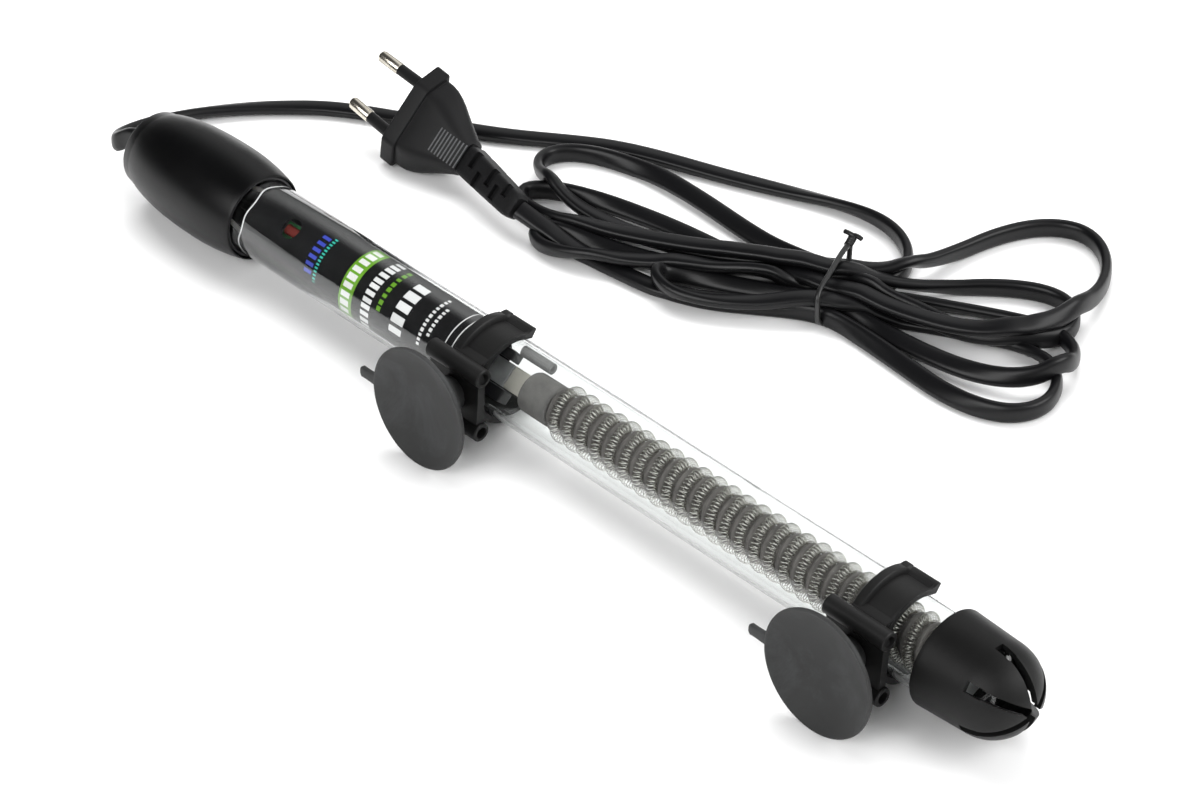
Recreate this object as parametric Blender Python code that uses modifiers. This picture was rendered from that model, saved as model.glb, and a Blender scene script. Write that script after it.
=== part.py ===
"""Submersible aquarium heater with clip brackets, suction cups, mains cord and two-pin plug.

Metres, +Z up. The glass tube lies along X with the cord end at -X. The heater rests on
z = 0 on its cap and on the rims of the two suction cups, which face -Y.
"""
import math

import bmesh
import bpy
from mathutils import Matrix, Vector

MM = 0.001
GAP = 0.3                      # clearance kept between touching pieces, in mm

# Heater body, in mm. Every x is along the tube and every radius is about its axis.
HALF_LENGTH = 181.0
TUBE_RADIUS = 12.0
TUBE_WALL = 1.2
TUBE_MOUTH_X = -160.0
TUBE_TIP_X = 171.0
TUBE_DOME = 11.0
CAP_RADIUS = 16.2
CAP_LENGTH = 58.0
CAP_WIDEST = 38.0              # distance from the cord end to the widest place
CAP_LIP_RADIUS = 13.9
CAP_WALL = 1.8
COLLAR_FIT = 0.35              # clearance of the cap, the guard and the brackets round the glass
SEAL_RIBS = 48                 # ribs round the ring in the cap's mouth
GUARD_MOUTH_X = 151.0
GUARD_RADIUS = 14.4
GUARD_SHOULDER_RADIUS = 13.7
GUARD_SHOULDER_X = 166.0
GUARD_WALL = 1.6
GUARD_SLEEVE = 9.0             # length of the guard's bore that slides over the glass
GUARD_SLOT_X = 167.0
GUARD_SLOT_WIDTH = 2.4
GUARD_SLOT_ANGLE = 146.0       # degrees about X, from +Y

# Heating element, in mm.
CORE_START_X = 6.8
CORE_END_X = 157.0
CORE_RADIUS = 5.1
CORE_BORE = 1.4
HEAD_START_X = -4.8
HEAD_RADIUS = 6.2
COIL_START_X = 8.6
COIL_PITCH = 5.53
COIL_TURNS = 25.5
COIL_CENTRE_RADIUS = 6.85
COIL_WIRE_RADIUS = 1.4

# Label liner, inside the glass, in mm.
LABEL_START_X = -118.0
LABEL_END_X = -24.0
LABEL_RADIUS = 10.45
LABEL_THICKNESS = 0.3
WINDOW_X = -102.4
WINDOW_RADIUS = 3.2
WINDOW_ANGLE = 121.0

# Clip brackets and suction cups, in mm, in a frame with Z pointing away from the tube.
BRACKET_X = (-19.3, 133.8)
BOSS_RADIUS = 2.6
BOSS_BORE = 1.6
BOSS_LENGTH = 21.5
BOSS_OFFSET = 9.2
BOSS_HEIGHT = 15.9
PLATE_HEIGHT = (15.0, 17.0)
PLATE_LENGTH = 20.0
ARM_LENGTH = 12.5
ARM_INNER = TUBE_RADIUS + COLLAR_FIT
ARM_OUTER = 14.2
ARM_ANGLES = (27.0, 122.0)
LIP_RADIUS = 16.0
CUP_RADIUS = 18.6
CUP_REACH = 31.0
CUP_HOLE = 4.2
TAB_LENGTH = 6.0

# Heights and the place of the tube's axis.
AXIS_Z = CAP_RADIUS
CUP_TILT = math.atan2(CUP_RADIUS, CUP_REACH) - math.asin(AXIS_Z / math.hypot(CUP_RADIUS, CUP_REACH))
AXIS_Y = (CUP_REACH * math.cos(CUP_TILT) + CUP_RADIUS * math.sin(CUP_TILT) - CAP_RADIUS) / 2
INNER_TURN = 41.0              # degrees that the thermostat frame is turned about the axis

# Cord and plug, in mm.
CORD_RADIUS = 1.8
CORD_SPLICE_X = -176.0          # where the loose cord takes over from the inner cord
PLUG_BASE = Vector((-136.2, 78.6, 15.4))
PLUG_YAW = 183.3
PLUG_PITCH = 13.1
PLUG_ROLL = 53.1
PLUG_NECK = 26.0               # distance from the plug's face to its neck
PIN_SPACING = (9.3, 8.75)      # half of the spacing at the face and at the tips
PIN_LENGTH = 19.0
PIN_RADIUS = 2.0
SLEEVE_LENGTH = 10.6
RELIEF_END = Vector((-80.4, 73.2, 9.0))
RELIEF_SETBACK = 2.6           # room for the bend between the plug's neck and the relief
HANK_BOTTOM = 2.2
HANK_TOP = 12.2
TIE_RADIUS = 0.8
TIE_CENTRE = Vector((10.5, 116.5, 7.2))
TIE_YAW = 115.0                # direction across the waist of the hank
TIE_HALF = (16.5, 6.3)         # half of the tie's width and height
TIE_SIDES = 28

# Hand-chosen points of the loose cord, from just outside the cap to the hank.
CORD_ROUTE = (
    (-187.0, 7.6, 14.6), (-190.0, 6.9, 12.4), (-193.2, 6.5, 10.2), (-196.6, 8.2, 8.8),
    (-199.0, 12.9, 8.0), (-200.8, 20.3, 7.0), (-201.5, 28.3, 5.7), (-199.6, 37.6, 4.1),
    (-194.8, 47.4, 2.7), (-188.4, 56.6, 2.0), (-181.5, 64.5, 1.9), (-172.5, 73.5, 1.9),
    (-163.3, 79.8, 1.9), (-151.3, 86.6, 1.9),
    (-139.3, 93.4, 1.9), (-126.3, 100.6, 1.9), (-116.3, 107.0, 1.9), (-104.3, 116.0, 1.9),
    (-91.3, 124.8, 1.9), (-76.3, 131.2, 1.9), (-56.3, 138.1, 1.9), (-36.3, 146.1, 1.9),
    (-21.3, 151.9, 1.9), (-6.3, 154.6, 1.9), (5.2, 152.6, 1.9), (12.0, 147.6, 1.9),
)

# Corners of the outline round all the loops of the hank.
HANK_OUTLINE = (
    (-106.0, 107.0), (-101.5, 96.0), (-93.5, 86.0), (-84.0, 82.5), (-77.4, 80.0),
    (-77.4, 68.0), (-68.0, 66.5), (-50.0, 72.0), (-30.0, 79.0), (-10.0, 88.0),
    (4.0, 101.5), (16.0, 105.5), (34.0, 104.5), (54.0, 101.0), (74.0, 104.5), (90.5, 117.0),
    (90.0, 134.0), (84.0, 148.0), (76.0, 160.0), (70.0, 176.0), (58.0, 192.0),
    (44.0, 197.5), (29.0, 190.0), (21.0, 172.0), (14.5, 142.0), (7.5, 127.5),
    (-8.0, 124.5), (-40.0, 126.0), (-70.0, 126.5), (-92.0, 122.5), (-103.5, 114.5),
)

PARTS = None
CUTTERS = None


def clear_scene():
    """Remove whatever the scene holds and make the two collections."""
    global PARTS, CUTTERS
    for item in list(bpy.data.objects):
        bpy.data.objects.remove(item, do_unlink=True)
    PARTS = bpy.data.collections.new("aquarium_heater")
    CUTTERS = bpy.data.collections.new("aquarium_heater_cutters")
    bpy.context.scene.collection.children.link(PARTS)
    bpy.context.scene.collection.children.link(CUTTERS)


def finish(name, colour, roughness, metallic=0.0, transmission=0.0):
    """Make a plain Principled material."""
    made = bpy.data.materials.new(name)
    made.use_nodes = True
    shader = made.node_tree.nodes["Principled BSDF"]
    shader.inputs["Base Color"].default_value = (*colour, 1.0)
    shader.inputs["Roughness"].default_value = roughness
    shader.inputs["Metallic"].default_value = metallic
    shader.inputs["Transmission Weight"].default_value = transmission
    return made


def add(name, data, material=None, parent=None, matrix=None, cutter=False):
    """Link an object holding data. matrix is in the parent's frame, in metres."""
    made = bpy.data.objects.new(name, data)
    if cutter:
        CUTTERS.objects.link(made)
        made.hide_render = True
        made.display_type = "WIRE"
    else:
        PARTS.objects.link(made)
        data.materials.append(material)
    made.parent = parent
    if matrix is not None:
        made.matrix_local = matrix
    return made


def frame(name, matrix, parent=None):
    """An empty that holds pieces in a frame of their own."""
    made = bpy.data.objects.new(name, None)
    PARTS.objects.link(made)
    made.parent = parent
    made.matrix_local = matrix
    return made


def at(x=0.0, y=0.0, z=0.0):
    """A move, given in mm."""
    return Matrix.Translation(Vector((x, y, z)) * MM)


def along_x():
    """Turns a piece made along +Z so that it lies along +X."""
    return Matrix.Rotation(math.radians(90), 4, "Y")


def screw(made, steps):
    """Turn the object's profile about its own Z axis."""
    turn = made.modifiers.new("turn", "SCREW")
    turn.axis = "Z"
    turn.angle = math.tau
    turn.steps = steps
    turn.render_steps = steps
    turn.use_merge_vertices = True
    turn.merge_threshold = 0.00001
    turn.use_smooth_shade = True
    return made


def turned(name, profile, material, steps=32, closed=True, parent=None, matrix=None, cutter=False):
    """A turned solid. profile holds (height, radius) in mm, top to bottom on its outer side."""
    points = [(radius * MM, 0.0, height * MM) for height, radius in profile]
    edges = [(i, i + 1) for i in range(len(points) - 1)]
    if closed:
        edges.append((len(points) - 1, 0))
    mesh = bpy.data.meshes.new(name)
    mesh.from_pydata(points, edges, [])
    return screw(add(name, mesh, material, parent, matrix, cutter), steps)


def bar(name, radius, start, end, material, bore=0.0, steps=20, parent=None, matrix=None, cutter=False):
    """A round bar or tube from height start to height end, in mm."""
    if bore:
        profile = [(end, bore), (end, radius), (start, radius), (start, bore)]
        return turned(name, profile, material, steps, True, parent, matrix, cutter)
    profile = [(end, 0.0), (end, radius), (start, radius), (start, 0.0)]
    return turned(name, profile, material, steps, False, parent, matrix, cutter)


def box(name, low, high, material, bevel=0.0, parent=None, cutter=False):
    """A box between two corners in mm, with rounded edges if bevel isn't 0."""
    mesh = bpy.data.meshes.new(name)
    shape = bmesh.new()
    bmesh.ops.create_cube(shape, size=1.0)
    size = [(b - a) * MM for a, b in zip(low, high)]
    middle = [(a + b) / 2 * MM for a, b in zip(low, high)]
    bmesh.ops.scale(shape, vec=size, verts=shape.verts)
    bmesh.ops.translate(shape, vec=middle, verts=shape.verts)
    shape.to_mesh(mesh)
    shape.free()
    made = add(name, mesh, material, parent, Matrix.Identity(4), cutter)
    if bevel:
        edge = made.modifiers.new("edges", "BEVEL")
        edge.width = bevel * MM
        edge.segments = 2
    return made


def boolean(made, other, operation):
    """Cut or join another object into this one."""
    step = made.modifiers.new(operation.lower(), "BOOLEAN")
    step.operation = operation
    step.object = other
    step.solver = "EXACT"


def smooth_round(made, degrees=35.0):
    """Shade the round faces of a plain mesh smooth."""
    made.data.shade_smooth()
    made.data.set_sharp_from_angle(angle=math.radians(degrees))
    return made


def wire(name, points, radius, material, resolution=2, closed=False, parent=None, matrix=None):
    """A round wire through points given in mm."""
    curve = bpy.data.curves.new(name, "CURVE")
    curve.dimensions = "3D"
    curve.bevel_depth = radius * MM
    curve.bevel_resolution = resolution
    curve.use_fill_caps = not closed
    line = curve.splines.new("POLY")
    line.points.add(len(points) - 1)
    for place, point in zip(line.points, points):
        place.co = (*(Vector(point) * MM), 1.0)
    line.use_cyclic_u = closed
    return add(name, curve, material, parent, matrix)


def outline(name, points, half_depth, material, parent=None, matrix=None):
    """A flat outline, given in mm, thickened by half_depth to each side."""
    curve = bpy.data.curves.new(name, "CURVE")
    curve.dimensions = "2D"
    curve.fill_mode = "BOTH"
    curve.extrude = half_depth * MM
    line = curve.splines.new("POLY")
    line.points.add(len(points) - 1)
    for place, (x, y) in zip(line.points, points):
        place.co = (x * MM, y * MM, 0.0, 1.0)
    line.use_cyclic_u = True
    return add(name, curve, material, parent, matrix)


def as_mesh(made, cutter=False):
    """Replace a curve object by a welded mesh object, so that it can be cut and joined."""
    bpy.context.view_layer.update()
    seen = made.evaluated_get(bpy.context.evaluated_depsgraph_get())
    mesh = bpy.data.meshes.new_from_object(seen)
    shape = bmesh.new()
    shape.from_mesh(mesh)
    bmesh.ops.remove_doubles(shape, verts=shape.verts, dist=0.000001)
    bmesh.ops.recalc_face_normals(shape, faces=shape.faces)
    shape.to_mesh(mesh)
    shape.free()
    name, parent, local, place = made.name, made.parent, made.matrix_local.copy(), made.matrix_world.copy()
    material = made.data.materials[0]
    bpy.data.objects.remove(made, do_unlink=True)
    mesh.materials.clear()
    plain = add(name, mesh, material, parent, local, cutter)
    if parent is None:
        plain.matrix_world = place
    return plain


def smooth_route(points, spacing):
    """Points at an even spacing, in mm, along a smooth curve through the given points."""
    knots = [Vector(p) for p in points]
    knots = [2 * knots[0] - knots[1]] + knots + [2 * knots[-1] - knots[-2]]
    fine = []
    for before, start, end, after in zip(knots, knots[1:], knots[2:], knots[3:]):
        for i in range(20):
            t = i / 20
            fine.append(0.5 * (2 * start + (end - before) * t
                               + (2 * before - 5 * start + 4 * end - after) * t ** 2
                               + (3 * start - before - 3 * end + after) * t ** 3))
    fine.append(knots[-2])
    lengths = [0.0]
    for a, b in zip(fine, fine[1:]):
        lengths.append(lengths[-1] + (b - a).length)
    count = max(2, round(lengths[-1] / spacing))
    route = []
    j = 0
    for i in range(count + 1):
        target = lengths[-1] * i / count
        while j < len(fine) - 2 and lengths[j + 1] < target:
            j += 1
        part = (target - lengths[j]) / max(lengths[j + 1] - lengths[j], 1e-9)
        route.append(fine[j].lerp(fine[j + 1], min(max(part, 0.0), 1.0)))
    return route


def hexagon(flat, ridge, half, cut):
    """Corners of a flat six-sided outline, in mm, each rounded over a length cut."""
    corners = [Vector(c) for c in ((flat, half), (ridge, 0), (flat, -half), (-flat, -half),
                                   (-ridge, 0), (-flat, half))]
    points = []
    for before, corner, after in zip(corners[-1:] + corners[:-1], corners, corners[1:] + corners[:1]):
        start = corner + (before - corner).normalized() * cut
        end = corner + (after - corner).normalized() * cut
        for i in range(4):
            t = i / 3
            points.append(start * (1 - t) ** 2 + corner * 2 * t * (1 - t) + end * t ** 2)
    return points


def squared(half_x, half_y, power, sides=20):
    """Points, in mm, round an outline between an ellipse and a rectangle."""
    points = []
    for i in range(sides):
        c, s = math.cos(math.tau * i / sides), math.sin(math.tau * i / sides)
        points.append(Vector((math.copysign(abs(c) ** (2 / power), c) * half_x,
                              math.copysign(abs(s) ** (2 / power), s) * half_y)))
    return points


def loft(name, sections, material, parent=None, matrix=None):
    """A solid through sections (height, outline), in mm, from +Z to -Z."""
    shape = bmesh.new()
    rings = [[shape.verts.new(Vector((x, y, z)) * MM) for x, y in points] for z, points in sections]
    sides = len(rings[0])
    for upper, lower in zip(rings, rings[1:]):
        for i in range(sides):
            j = (i + 1) % sides
            shape.faces.new((upper[i], lower[i], lower[j], upper[j]))
    shape.faces.new(rings[0])
    shape.faces.new(list(reversed(rings[-1])))
    bmesh.ops.recalc_face_normals(shape, faces=shape.faces)
    mesh = bpy.data.meshes.new(name)
    shape.to_mesh(mesh)
    shape.free()
    return smooth_round(add(name, mesh, material, parent, matrix))


def cap_radius(along):
    """Outer radius of the cap's curved side, at a distance from the tip of the outlet."""
    if along < CAP_WIDEST:
        near_end = ((CAP_WIDEST - along) / CAP_WIDEST) ** 2.3
        return CAP_RADIUS * max(1.0 - near_end, 0.0) ** 0.3125
    past = (along - CAP_WIDEST) / (CAP_LENGTH - CAP_WIDEST)
    return CAP_RADIUS - (CAP_RADIUS - CAP_LIP_RADIUS) * past ** 2.2


def make_cap(axis, material):
    """The cap shell with its flat end, the cord's outlet, and a collar that holds the tube."""
    mouth = -HALF_LENGTH + CAP_LENGTH
    outer = [(-HALF_LENGTH + s, cap_radius(s)) for s in (58, 55, 51, 46, 38, 30, 22, 15, 10)]
    end = [(-173.6, 12.7), (-174.7, 12.1), (-175.3, 11.2), (-175.5, 10.2), (-175.5, 6.4)]
    outlet = [(-HALF_LENGTH, 5.6), (-HALF_LENGTH, 4.4), (-173.8, 4.4), (-173.8, 9.6)]
    inner = [(-HALF_LENGTH + s, cap_radius(s) - CAP_WALL) for s in (11, 18, 26)]
    bore = TUBE_RADIUS + COLLAR_FIT
    collar = [(mouth - 24, 13.6), (mouth - 23.5, bore), (mouth - 8, bore), (mouth - 7.5, 13.45)]
    profile = outer + end + outlet + inner + collar + [(mouth, 13.5)]
    turned("head_cap", profile, material, 36, True, axis, along_x())


def make_seal_ring(axis, material):
    """The ribbed ring that fills the mouth of the cap round the glass."""
    mouth = -HALF_LENGTH + CAP_LENGTH
    points = []
    for i in range(SEAL_RIBS * 2):
        turn = math.pi * i / SEAL_RIBS
        radius = 13.1 if i % 2 else 12.8
        points.append((radius * math.cos(turn), radius * math.sin(turn)))
    start, end = mouth - 7.0, mouth - 0.6
    ring = outline("cap_seal_ring", points, (end - start) / 2, material, axis,
                   at(x=(start + end) / 2) @ along_x())
    ring = as_mesh(ring)
    hole = bar("seal_ring_hole", TUBE_RADIUS + GAP, start - 2, end + 2, None, steps=36, parent=axis,
               matrix=along_x(), cutter=True)
    boolean(ring, hole, "DIFFERENCE")


def make_glass(axis, material):
    """The glass tube, open inside the cap and domed under the guard."""
    inner = TUBE_RADIUS - TUBE_WALL
    dome_start = TUBE_TIP_X - TUBE_DOME
    profile = []
    for i in range(7):
        turn = math.radians(90 * i / 6)
        profile.append((dome_start + TUBE_DOME * math.cos(turn), TUBE_RADIUS * math.sin(turn)))
    profile += [(TUBE_MOUTH_X, TUBE_RADIUS), (TUBE_MOUTH_X, inner)]
    for i in range(6, -1, -1):
        turn = math.radians(90 * i / 6)
        depth = TUBE_DOME - TUBE_WALL
        profile.append((dome_start + depth * math.cos(turn), inner * math.sin(turn)))
    turned("glass_tube", profile, material, 36, False, axis, along_x())


def make_stopper(axis, material):
    """The rubber stopper in the tube's mouth, bored for the cord."""
    rim = TUBE_MOUTH_X - GAP
    profile = [(-150, CORD_RADIUS + GAP), (-150, 10.2), (rim, 10.45), (rim, 11.8),
               (rim - 3, 11.6), (rim - 3, CORD_RADIUS + GAP)]
    turned("tube_stopper", profile, material, 28, True, axis, along_x())


def make_gland(axis, material):
    """The grommet that the cord leaves the cap through."""
    bore = CORD_RADIUS + GAP
    profile = [(-172.1, bore), (-172.1, 5.6), (-173.5, 5.6), (-173.5, 4.0), (-181.4, 4.0),
               (-183.0, 3.5), (-183.0, bore + 0.4), (-180.0, bore)]
    turned("cord_gland", profile, material, 20, True, axis, along_x())


def make_label(axis, material):
    """The printed liner inside the glass, with the round window for the lamp."""
    low = LABEL_RADIUS - LABEL_THICKNESS
    liner = bar("label_liner", LABEL_RADIUS, LABEL_START_X, LABEL_END_X, material, low, 40,
                axis, along_x())
    facing = Matrix.Rotation(math.radians(WINDOW_ANGLE - 90), 4, "X")
    hole = bar("window_hole", WINDOW_RADIUS, 6, 14, None, steps=20, parent=axis,
               matrix=facing @ at(x=WINDOW_X), cutter=True)
    boolean(liner, hole, "DIFFERENCE")


def make_thermostat(inner, shades):
    """The bimetal thermostat, its contacts, lamp and leads, on one long plate."""
    box("thermostat_base", (-112, -3.6, -2.4), (-15.5, 3.6, -1.2), shades["mica"], 0.2, inner)
    box("insulator_plate", (-15.1, -3.6, -2.4), (HEAD_START_X - 0.5, 3.6, -1.2), shades["cream"], 0.2, inner)
    box("bimetal_post", (-74, -2.2, -0.9), (-69.4, 2.2, 2.9), shades["brass"], 0.2, inner)
    box("fixed_contact", (-37.5, -2.0, -0.9), (-33.5, 2.0, 0.5), shades["brass"], 0.2, inner)
    box("snap_magnet", (-31.5, -2.0, -0.9), (-28.0, 2.0, 1.0), shades["ferrite"], 0.2, inner)
    bar("calibration_screw", 1.3, -0.9, 5.2, shades["brass"], steps=12, parent=inner, matrix=at(x=-78.0))
    pivot = frame("bimetal_pivot", at(-69.0, 0, 1.9), inner)
    box("bimetal_arm", (GAP, -2.4, -0.25), (40.5, 2.4, 0.25), shades["bimetal"], 0.0, pivot)
    bar("moving_contact", 1.2, -1.0, -0.25 - GAP, shades["silver"], steps=12, parent=pivot,
        matrix=at(x=33.5))
    box("capacitor", (-32, 4.0, -2.2), (-15.0, 7.0, 2.4), shades["black"], 0.4, inner)
    box("terminal_block", (-24, -7.8, -2.4), (-11.5, -4.0, 2.2), shades["black"], 0.4, inner)
    box("lamp_board", (-108, -2.6, 3.2), (-96.5, 3.4, 4.2), shades["board"], 0.0, inner)
    bar("indicator_lamp", 1.5, -106.0, -99.0, shades["lamp"], steps=14, parent=inner,
        matrix=at(y=1.2, z=6.1) @ along_x())
    bar("lead_sleeve", 1.75, -14.6, -2.8, shades["sleeve"], bore=0.95, steps=14, parent=inner,
        matrix=at(y=8.4) @ along_x())
    wire("live_lead", [(-149, 1.2, 0.8), (-140, 3.0, 1.0), (-120, 6.6, 0.5), (-60, 7.0, 0.0),
                       (-36, 6.4, 0.0), (-32.5, 6.2, 0.0)], 0.6, shades["lead"], 1, parent=inner)
    wire("neutral_lead", [(-149, -1.2, -0.8), (-140, -3.0, -1.0), (-120, -6.4, -1.0),
                          (-60, -6.6, -1.0), (-24.5, -6.0, -0.4)], 0.6, shades["lead"], 1, parent=inner)


def make_element(axis, shades):
    """The ceramic head, the core with its winding, the return lead and the support disc."""
    bar("ceramic_head", HEAD_RADIUS, HEAD_START_X, CORE_START_X - GAP, shades["ceramic"], CORE_BORE, 28,
        axis, along_x())
    bar("ceramic_core", CORE_RADIUS, CORE_START_X, CORE_END_X, shades["ceramic"], CORE_BORE, 24,
        axis, along_x())
    bar("core_support_disc", 10.4, CORE_END_X + GAP, CORE_END_X + 1.8, shades["mica"], CORE_BORE, 24,
        axis, along_x())
    bar("return_lead", 0.8, HEAD_START_X - 2, CORE_END_X + 4, shades["lead"], steps=10, parent=axis,
        matrix=along_x())
    points = []
    per_turn = 10
    for i in range(round(COIL_TURNS * per_turn) + 1):
        turn = math.tau * i / per_turn
        points.append((COIL_START_X + COIL_PITCH * i / per_turn,
                       COIL_CENTRE_RADIUS * math.cos(turn), COIL_CENTRE_RADIUS * math.sin(turn)))
    wire("heating_coil", points, COIL_WIRE_RADIUS, shades["coil"], 1, parent=axis,
         matrix=Matrix.Identity(4))


def guard_radius(x):
    """Outer radius of the guard: a slight taper, then a round nose."""
    if x < GUARD_SHOULDER_X:
        part = (x - GUARD_MOUTH_X) / (GUARD_SHOULDER_X - GUARD_MOUTH_X)
        return GUARD_RADIUS + (GUARD_SHOULDER_RADIUS - GUARD_RADIUS) * part
    part = (x - GUARD_SHOULDER_X) / (HALF_LENGTH - GUARD_SHOULDER_X)
    return GUARD_SHOULDER_RADIUS * max(1.0 - part ** 2.2, 0.0) ** 0.55


def make_guard(axis, material):
    """The domed end guard, slotted into six fingers."""
    stations = [HALF_LENGTH - d for d in (0.0, 0.25, 1.0, 2.4, 4.6, 7.6, 11.4, 15.0)]
    outer = [(x, guard_radius(x)) for x in stations] + [(GUARD_MOUTH_X, GUARD_RADIUS)]
    nose = [(x - GUARD_WALL, max(guard_radius(x) - GUARD_WALL * 0.8, 0.0)) for x in stations[:-1]]
    mouth = [(x, TUBE_RADIUS + COLLAR_FIT) for x in (GUARD_MOUTH_X, GUARD_MOUTH_X + GUARD_SLEEVE)]
    profile = outer + mouth + list(reversed(nose))
    guard = turned("end_guard", profile, material, 36, False, axis, along_x())
    for i in range(3):
        turn = Matrix.Rotation(math.radians(GUARD_SLOT_ANGLE + 60 * i), 4, "X")
        slot = box(f"guard_slot_{i + 1}", (GUARD_SLOT_X, -20, -GUARD_SLOT_WIDTH / 2),
                   (HALF_LENGTH + 5, 20, GUARD_SLOT_WIDTH / 2), None, parent=axis, cutter=True)
        slot.matrix_local = turn
        boolean(guard, slot, "DIFFERENCE")


def arm_outline(side):
    """Outline of one springy arm in the bracket's cross-section, on side +1 or -1."""
    start, end = ARM_ANGLES
    points = []
    for i in range(11):
        turn = math.radians(start + (end - start) * i / 10)
        points.append((ARM_INNER * math.sin(turn), ARM_INNER * math.cos(turn)))
    tip = math.radians(end + 3)
    points.append((LIP_RADIUS * math.sin(tip), LIP_RADIUS * math.cos(tip)))
    shoulder = math.radians(end - 4)
    points.append((LIP_RADIUS * math.sin(shoulder), LIP_RADIUS * math.cos(shoulder)))
    for i in range(10):
        turn = math.radians(end - 9 - (end - 9 - 42) * i / 9)
        points.append((ARM_OUTER * math.sin(turn), ARM_OUTER * math.cos(turn)))
    for degrees in (38.0, start):
        turn = math.radians(degrees)
        points.append((17.0 * math.sin(turn), 17.0 * math.cos(turn)))
    return [(side * y, z) for y, z in points]


def make_bracket(number, holder, material):
    """One clip bracket: a plate between two hollow bosses, and two arms round the glass."""
    name = f"bracket_{number}"
    half = PLATE_LENGTH / 2
    bracket = box(name, (-half, -BOSS_OFFSET, PLATE_HEIGHT[0]), (half, BOSS_OFFSET, PLATE_HEIGHT[1]),
                  material, 0.0, holder)
    upright = Matrix(((0, 0, 1, 0), (1, 0, 0, 0), (0, 1, 0, 0), (0, 0, 0, 1)))
    for side in (1, -1):
        boss = bar(f"{name}_boss_{side}", BOSS_RADIUS, -BOSS_LENGTH / 2, BOSS_LENGTH / 2, None, steps=20,
                   parent=holder, matrix=at(y=side * BOSS_OFFSET, z=BOSS_HEIGHT) @ along_x(), cutter=True)
        arm = outline(f"{name}_arm_{side}", arm_outline(side), ARM_LENGTH / 2, material, holder, upright)
        arm = as_mesh(arm, cutter=True)
        boolean(bracket, arm, "UNION")
        boolean(bracket, boss, "UNION")
    for side in (1, -1):
        bore = bar(f"{name}_bore_{side}", BOSS_BORE, -BOSS_LENGTH, BOSS_LENGTH, None, steps=16,
                   parent=holder, matrix=at(y=side * BOSS_OFFSET, z=BOSS_HEIGHT) @ along_x(), cutter=True)
        boolean(bracket, bore, "DIFFERENCE")
    hole = bar(f"{name}_hole", CUP_HOLE, 12, 20, None, steps=24, parent=holder,
               matrix=Matrix.Identity(4), cutter=True)
    boolean(bracket, hole, "DIFFERENCE")


def make_cup(number, holder, material):
    """A suction cup with its button head behind the plate and a pull tab on its rim."""
    name = f"suction_cup_{number}"
    rim = CUP_REACH
    profile = [(rim - 5.6, 0.0), (rim - 4.6, 6.0), (rim - 2.4, 12.0), (rim - 0.2, 17.4),
               (rim, 18.1), (rim - 0.5, CUP_RADIUS), (rim - 1.5, 18.2), (26.4, 14.4),
               (23.4, 10.0), (20.6, 6.6), (17.5, 5.0), (17.3, 3.8), (14.7, 3.8),
               (14.5, 5.1), (13.2, 5.2), (12.7, 4.4), (12.6, 0.0)]
    cup = turned(name, profile, material, 32, False, holder, Matrix.Identity(4))
    tab = box(f"{name}_tab", (-CUP_RADIUS - TAB_LENGTH, -1.9, rim - 1.6),
              (-CUP_RADIUS + 1.2, 1.9, rim - 0.3), None, 0.4, holder, cutter=True)
    boolean(cup, tab, "UNION")


def plug_matrix():
    """Plug frame: Z along the pins, X from pin to pin, origin in the middle of the face."""
    yaw, pitch, roll = (math.radians(a) for a in (PLUG_YAW, PLUG_PITCH, PLUG_ROLL))
    pins = Vector((math.cos(yaw) * math.cos(pitch), math.sin(yaw) * math.cos(pitch), math.sin(pitch)))
    level = pins.cross(Vector((0, 0, 1))).normalized()
    upward = level.cross(pins)
    across = level * math.cos(roll) + upward * math.sin(roll)
    thick = pins.cross(across)
    turn = Matrix((across, thick, pins)).transposed().to_4x4()
    return Matrix.Translation(PLUG_BASE * MM) @ turn


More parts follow.
